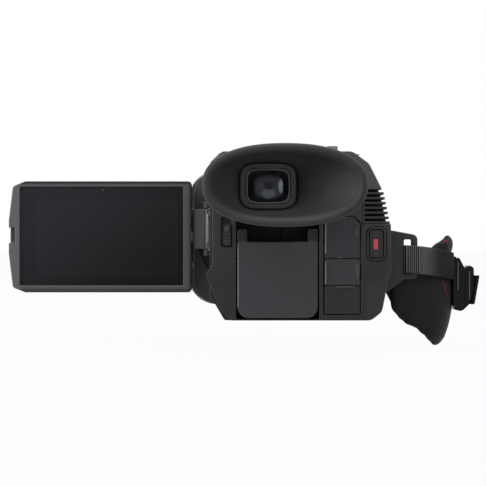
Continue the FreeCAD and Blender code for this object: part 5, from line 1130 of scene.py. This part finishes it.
def rounded_path(corners, radii, step):
    """Points at even steps along straight runs joined by arcs of these radii."""
    corners = [Vector(corner) for corner in corners]
    line = [corners[0]]
    for before, here, after, radius in zip(corners, corners[1:], corners[2:], radii):
        line += rounded_corner(before, here, after, radius, step)
    line.append(corners[-1])
    points, spare = [line[0]], 0.0
    for a, b in zip(line, line[1:]):
        run = (b - a).length
        while spare + run >= step and run > 0:
            a = a + (b - a).normalized() * (step - spare)
            run = (b - a).length
            spare = 0.0
            points.append(a)
        spare += run
    return points


def ribbon(name, line, low, high, thick, rib, height=0.28, lean=0.0, droop=0.0):
    """Ribbed webbing on edge along a line in plan. Its foot may lean in, its outer turn hang lower."""
    rings, runs, run = [], [], 0.0
    sides = ((0, 0.55), (0.02, 0.9), (0.06, 1), (0.5, 1), (0.94, 1), (0.98, 0.9), (1, 0.55))
    for index, here in enumerate(line):
        ahead = (line[min(index + 1, len(line) - 1)] - line[max(index - 1, 0)]).normalized()
        out = Vector((ahead.y, -ahead.x))
        swell = 1 - height + height * abs(math.sin(math.pi * run / rib)) ** 0.7
        fall = droop * max(0, (here.x - 74) / 33) ** 2
        ring = [(level, share * swell) for level, share in sides]
        profile = ring + [(level, -share) for level, share in ring[::-1]]
        rings.append([(MM * (here.x + out.x * thick / 2 * side - lean * (1 - level)),
                       MM * (here.y + out.y * thick / 2 * side), MM * (low + (high - low) * level - fall))
                      for level, side in profile])
        runs += [(run * MM, (low + (high - low) * level) * MM, 0) for level, side in profile]
        if index + 1 < len(line):
            run += (line[index + 1] - here).length
    piece = skinned(name, rings, capped=True)
    lengths = piece.data.attributes.new("along_webbing", "FLOAT_VECTOR", "POINT")
    lengths.data.foreach_set("vector", [number for place in runs for number in place])
    only(piece)
    bpy.ops.object.shade_smooth_by_angle(angle=math.radians(50))
    return piece


webbing_low, webbing_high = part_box("strap_webbing")
WEB_THICK = 1.5
RIB = 1.05
WEB_OUT = webbing_high.x / MM - 2.7 - WEB_THICK / 2
WEB_REAR = webbing_low.y / MM + WEB_THICK / 2
WEB_FRONT = webbing_high.y / MM - WEB_THICK / 2
STRAP_LINE = ((78.9, -38.8), (78.9, WEB_REAR), (86.5, WEB_REAR), (WEB_OUT, -16.2), (WEB_OUT, 12.2),
              (75.1, WEB_FRONT), (69.6, WEB_FRONT), (69.6, 35.0))
webbing = ribbon("strap_webbing_piece", rounded_path(STRAP_LINE, (1.1, 1.4, 12.7, 12.7, 1.4, 1.1), 0.2),
                 webbing_low.z / MM, webbing_high.z / MM, WEB_THICK, RIB, droop=4.2)
nylon, start = new_material("webbing_nylon", Specular_IOR_Level=0.12, Sheen_Weight=0.02,
                            Sheen_Roughness=0.4)
run = start.node("Attribute", settings={"attribute_name": "along_webbing"}, output="Vector")
rib_place = (run.axis("X") * (math.pi / (RIB * MM))).math("SINE").math("ABSOLUTE")
yarn = (run.axis("Y") * (2 * math.pi / (0.55 * MM)) + run.axis("X") * (math.pi / (RIB * MM))).math("SINE")
place = start.node("TexCoord", output="Object")
fade = start.node("TexNoise", Vector=place, Scale=40.0, Detail=4.0)
# Painted light and shade: the rib crests are painted pale on the part that faces the camera, below 88 mm
# along x, and dark on the outer turn beyond 99 mm; the valleys between the ribs are painted dark as shade.
lit_side = place.axis("X").ease(99 * MM, 88 * MM)
crest_highlight = lit_side.blend(fade.blend((0.003, 0.003, 0.003), (0.005, 0.005, 0.005)),
                   fade.blend((0.12, 0.12, 0.124), (0.21, 0.21, 0.215)))
feed(nylon, Base_Color=rib_place.ease(0.45, 0.95).blend((0.003, 0.003, 0.003), crest_highlight),
     Roughness=yarn * 0.08 + 0.56,
     Normal=start.node("Bump", Height=yarn * rib_place, Strength=0.4, Distance=0.0001))
settle(webbing, nylon, "strap_webbing")


def side_piece(name, outline, low, high, width, segments=3):
    """A piece with one outline in the upright plane across the body, from low to high along y."""
    count = len(outline)
    corners = [(MM * x, MM * y, MM * z) for y in (low, high) for x, z in outline]
    walls = [(step, (step + 1) % count, (step + 1) % count + count, step + count)
             for step in range(count)]
    ends = [tuple(range(count)), tuple(range(count, 2 * count))]
    piece = closed_mesh(name, corners, walls + ends)
    soften(piece, width * MM, segments)
    return piece


def rounded_outline(corners, radii):
    """An outline with arcs at its corners."""
    corners = [Vector(corner) for corner in corners]
    count = len(corners)
    return [tuple(point) for index, radius in enumerate(radii)
            for point in rounded_corner(corners[index - 1], corners[index], corners[(index + 1) % count],
                                        radius)]


buckle_plastic = grained("buckle_plastic", (0.006, 0.006, 0.0065), 0.34, 0.15, 0.12)
buckle_low, buckle_high = (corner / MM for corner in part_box("strap_buckle"))
left = buckle_low.x - 1.9
BUCKLE_OUTLINES = (((left, buckle_low.z + 0.8), (left + 2.6, buckle_low.z),
                    (left + 2.9, buckle_high.z - 2.5), (left + 1.3, buckle_high.z),
                    (left + 0.3, buckle_high.z - 3)),
                   ((left + 2.0, buckle_low.z), (left + 6.0, buckle_low.z + 0.5),
                    (left + 6.9, buckle_high.z - 7.5), (left + 3.6, buckle_high.z - 1.2),
                    (left + 2.3, buckle_high.z - 2.4)))
rails = [side_piece("buckle_rail", rounded_outline(outline, (0.8, 0.8, 1.0, 0.8, 1.0)), buckle_low.y + inset,
                    buckle_high.y - inset, 0.7) for outline, inset in zip(BUCKLE_OUTLINES, (0.0, 0.7))]
settle(joined(rails, "strap_buckle_piece"), buckle_plastic, "strap_buckle")
# Painted highlights: thin pale ridges on the buckle and the keeper, where their rounded edges catch the
# light.
ridges = [block("buckle_highlight_ridge", (x * MM, (buckle_low.y + dip) * MM, low * MM),
                ((x + 0.6) * MM, (buckle_low.y + dip + 0.6) * MM, high * MM))
          for x, dip, low, high in ((108.9, -0.35, 14.0, 29.0), (115.3, 3.3, 9.0, 24.0))]
for ridge in ridges:
    soften(ridge, 0.15 * MM)
settle(joined(ridges, "buckle_highlight_ridges"), grained("highlight_ridge_plastic", (0.10, 0.10, 0.102), 0.3, 0.15),
       body="camera_body", slot=slot_of["strap_buckle"])
keeper_low, keeper_high = (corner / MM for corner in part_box("strap_keeper"))
hook = keeper_low.z + 0.2
edge = keeper_high.x - 0.2
KEEPER_OUTLINE = ((keeper_low.x - 0.9, hook + 0.6), (keeper_low.x + 3.6, hook - 0.4),
                  (edge - 2.6, hook + 3.5), (edge, hook + 9.0), (edge - 0.3, keeper_high.z - 1.2),
                  (edge - 2.2, keeper_high.z), (edge - 5.0, keeper_high.z - 0.8),
                  (edge - 6.2, hook + 4.4), (keeper_low.x + 0.4, hook + 2.6))
keeper = side_piece("strap_keeper_piece",
                    rounded_outline(KEEPER_OUTLINE, (0.8, 3.0, 3.0, 3.0, 1.2, 1.2, 1.2, 0.6, 0.5)),
                    keeper_low.y, keeper_high.y, 0.8)
settle(keeper, buckle_plastic, "strap_keeper")
tail_low, tail_high = (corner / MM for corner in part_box("strap_tail"))
TAIL_LINE = ((tail_low.x - 2.6, 9.0), (tail_low.x - 2.2, -2.0), (tail_high.x + 0.2, -9.5))
tail = ribbon("strap_tail_piece", rounded_path(TAIL_LINE, (6.0,), 0.2), tail_low.z, tail_high.z,
              WEB_THICK, RIB, lean=2.6)
settle(tail, nylon, "strap_tail")
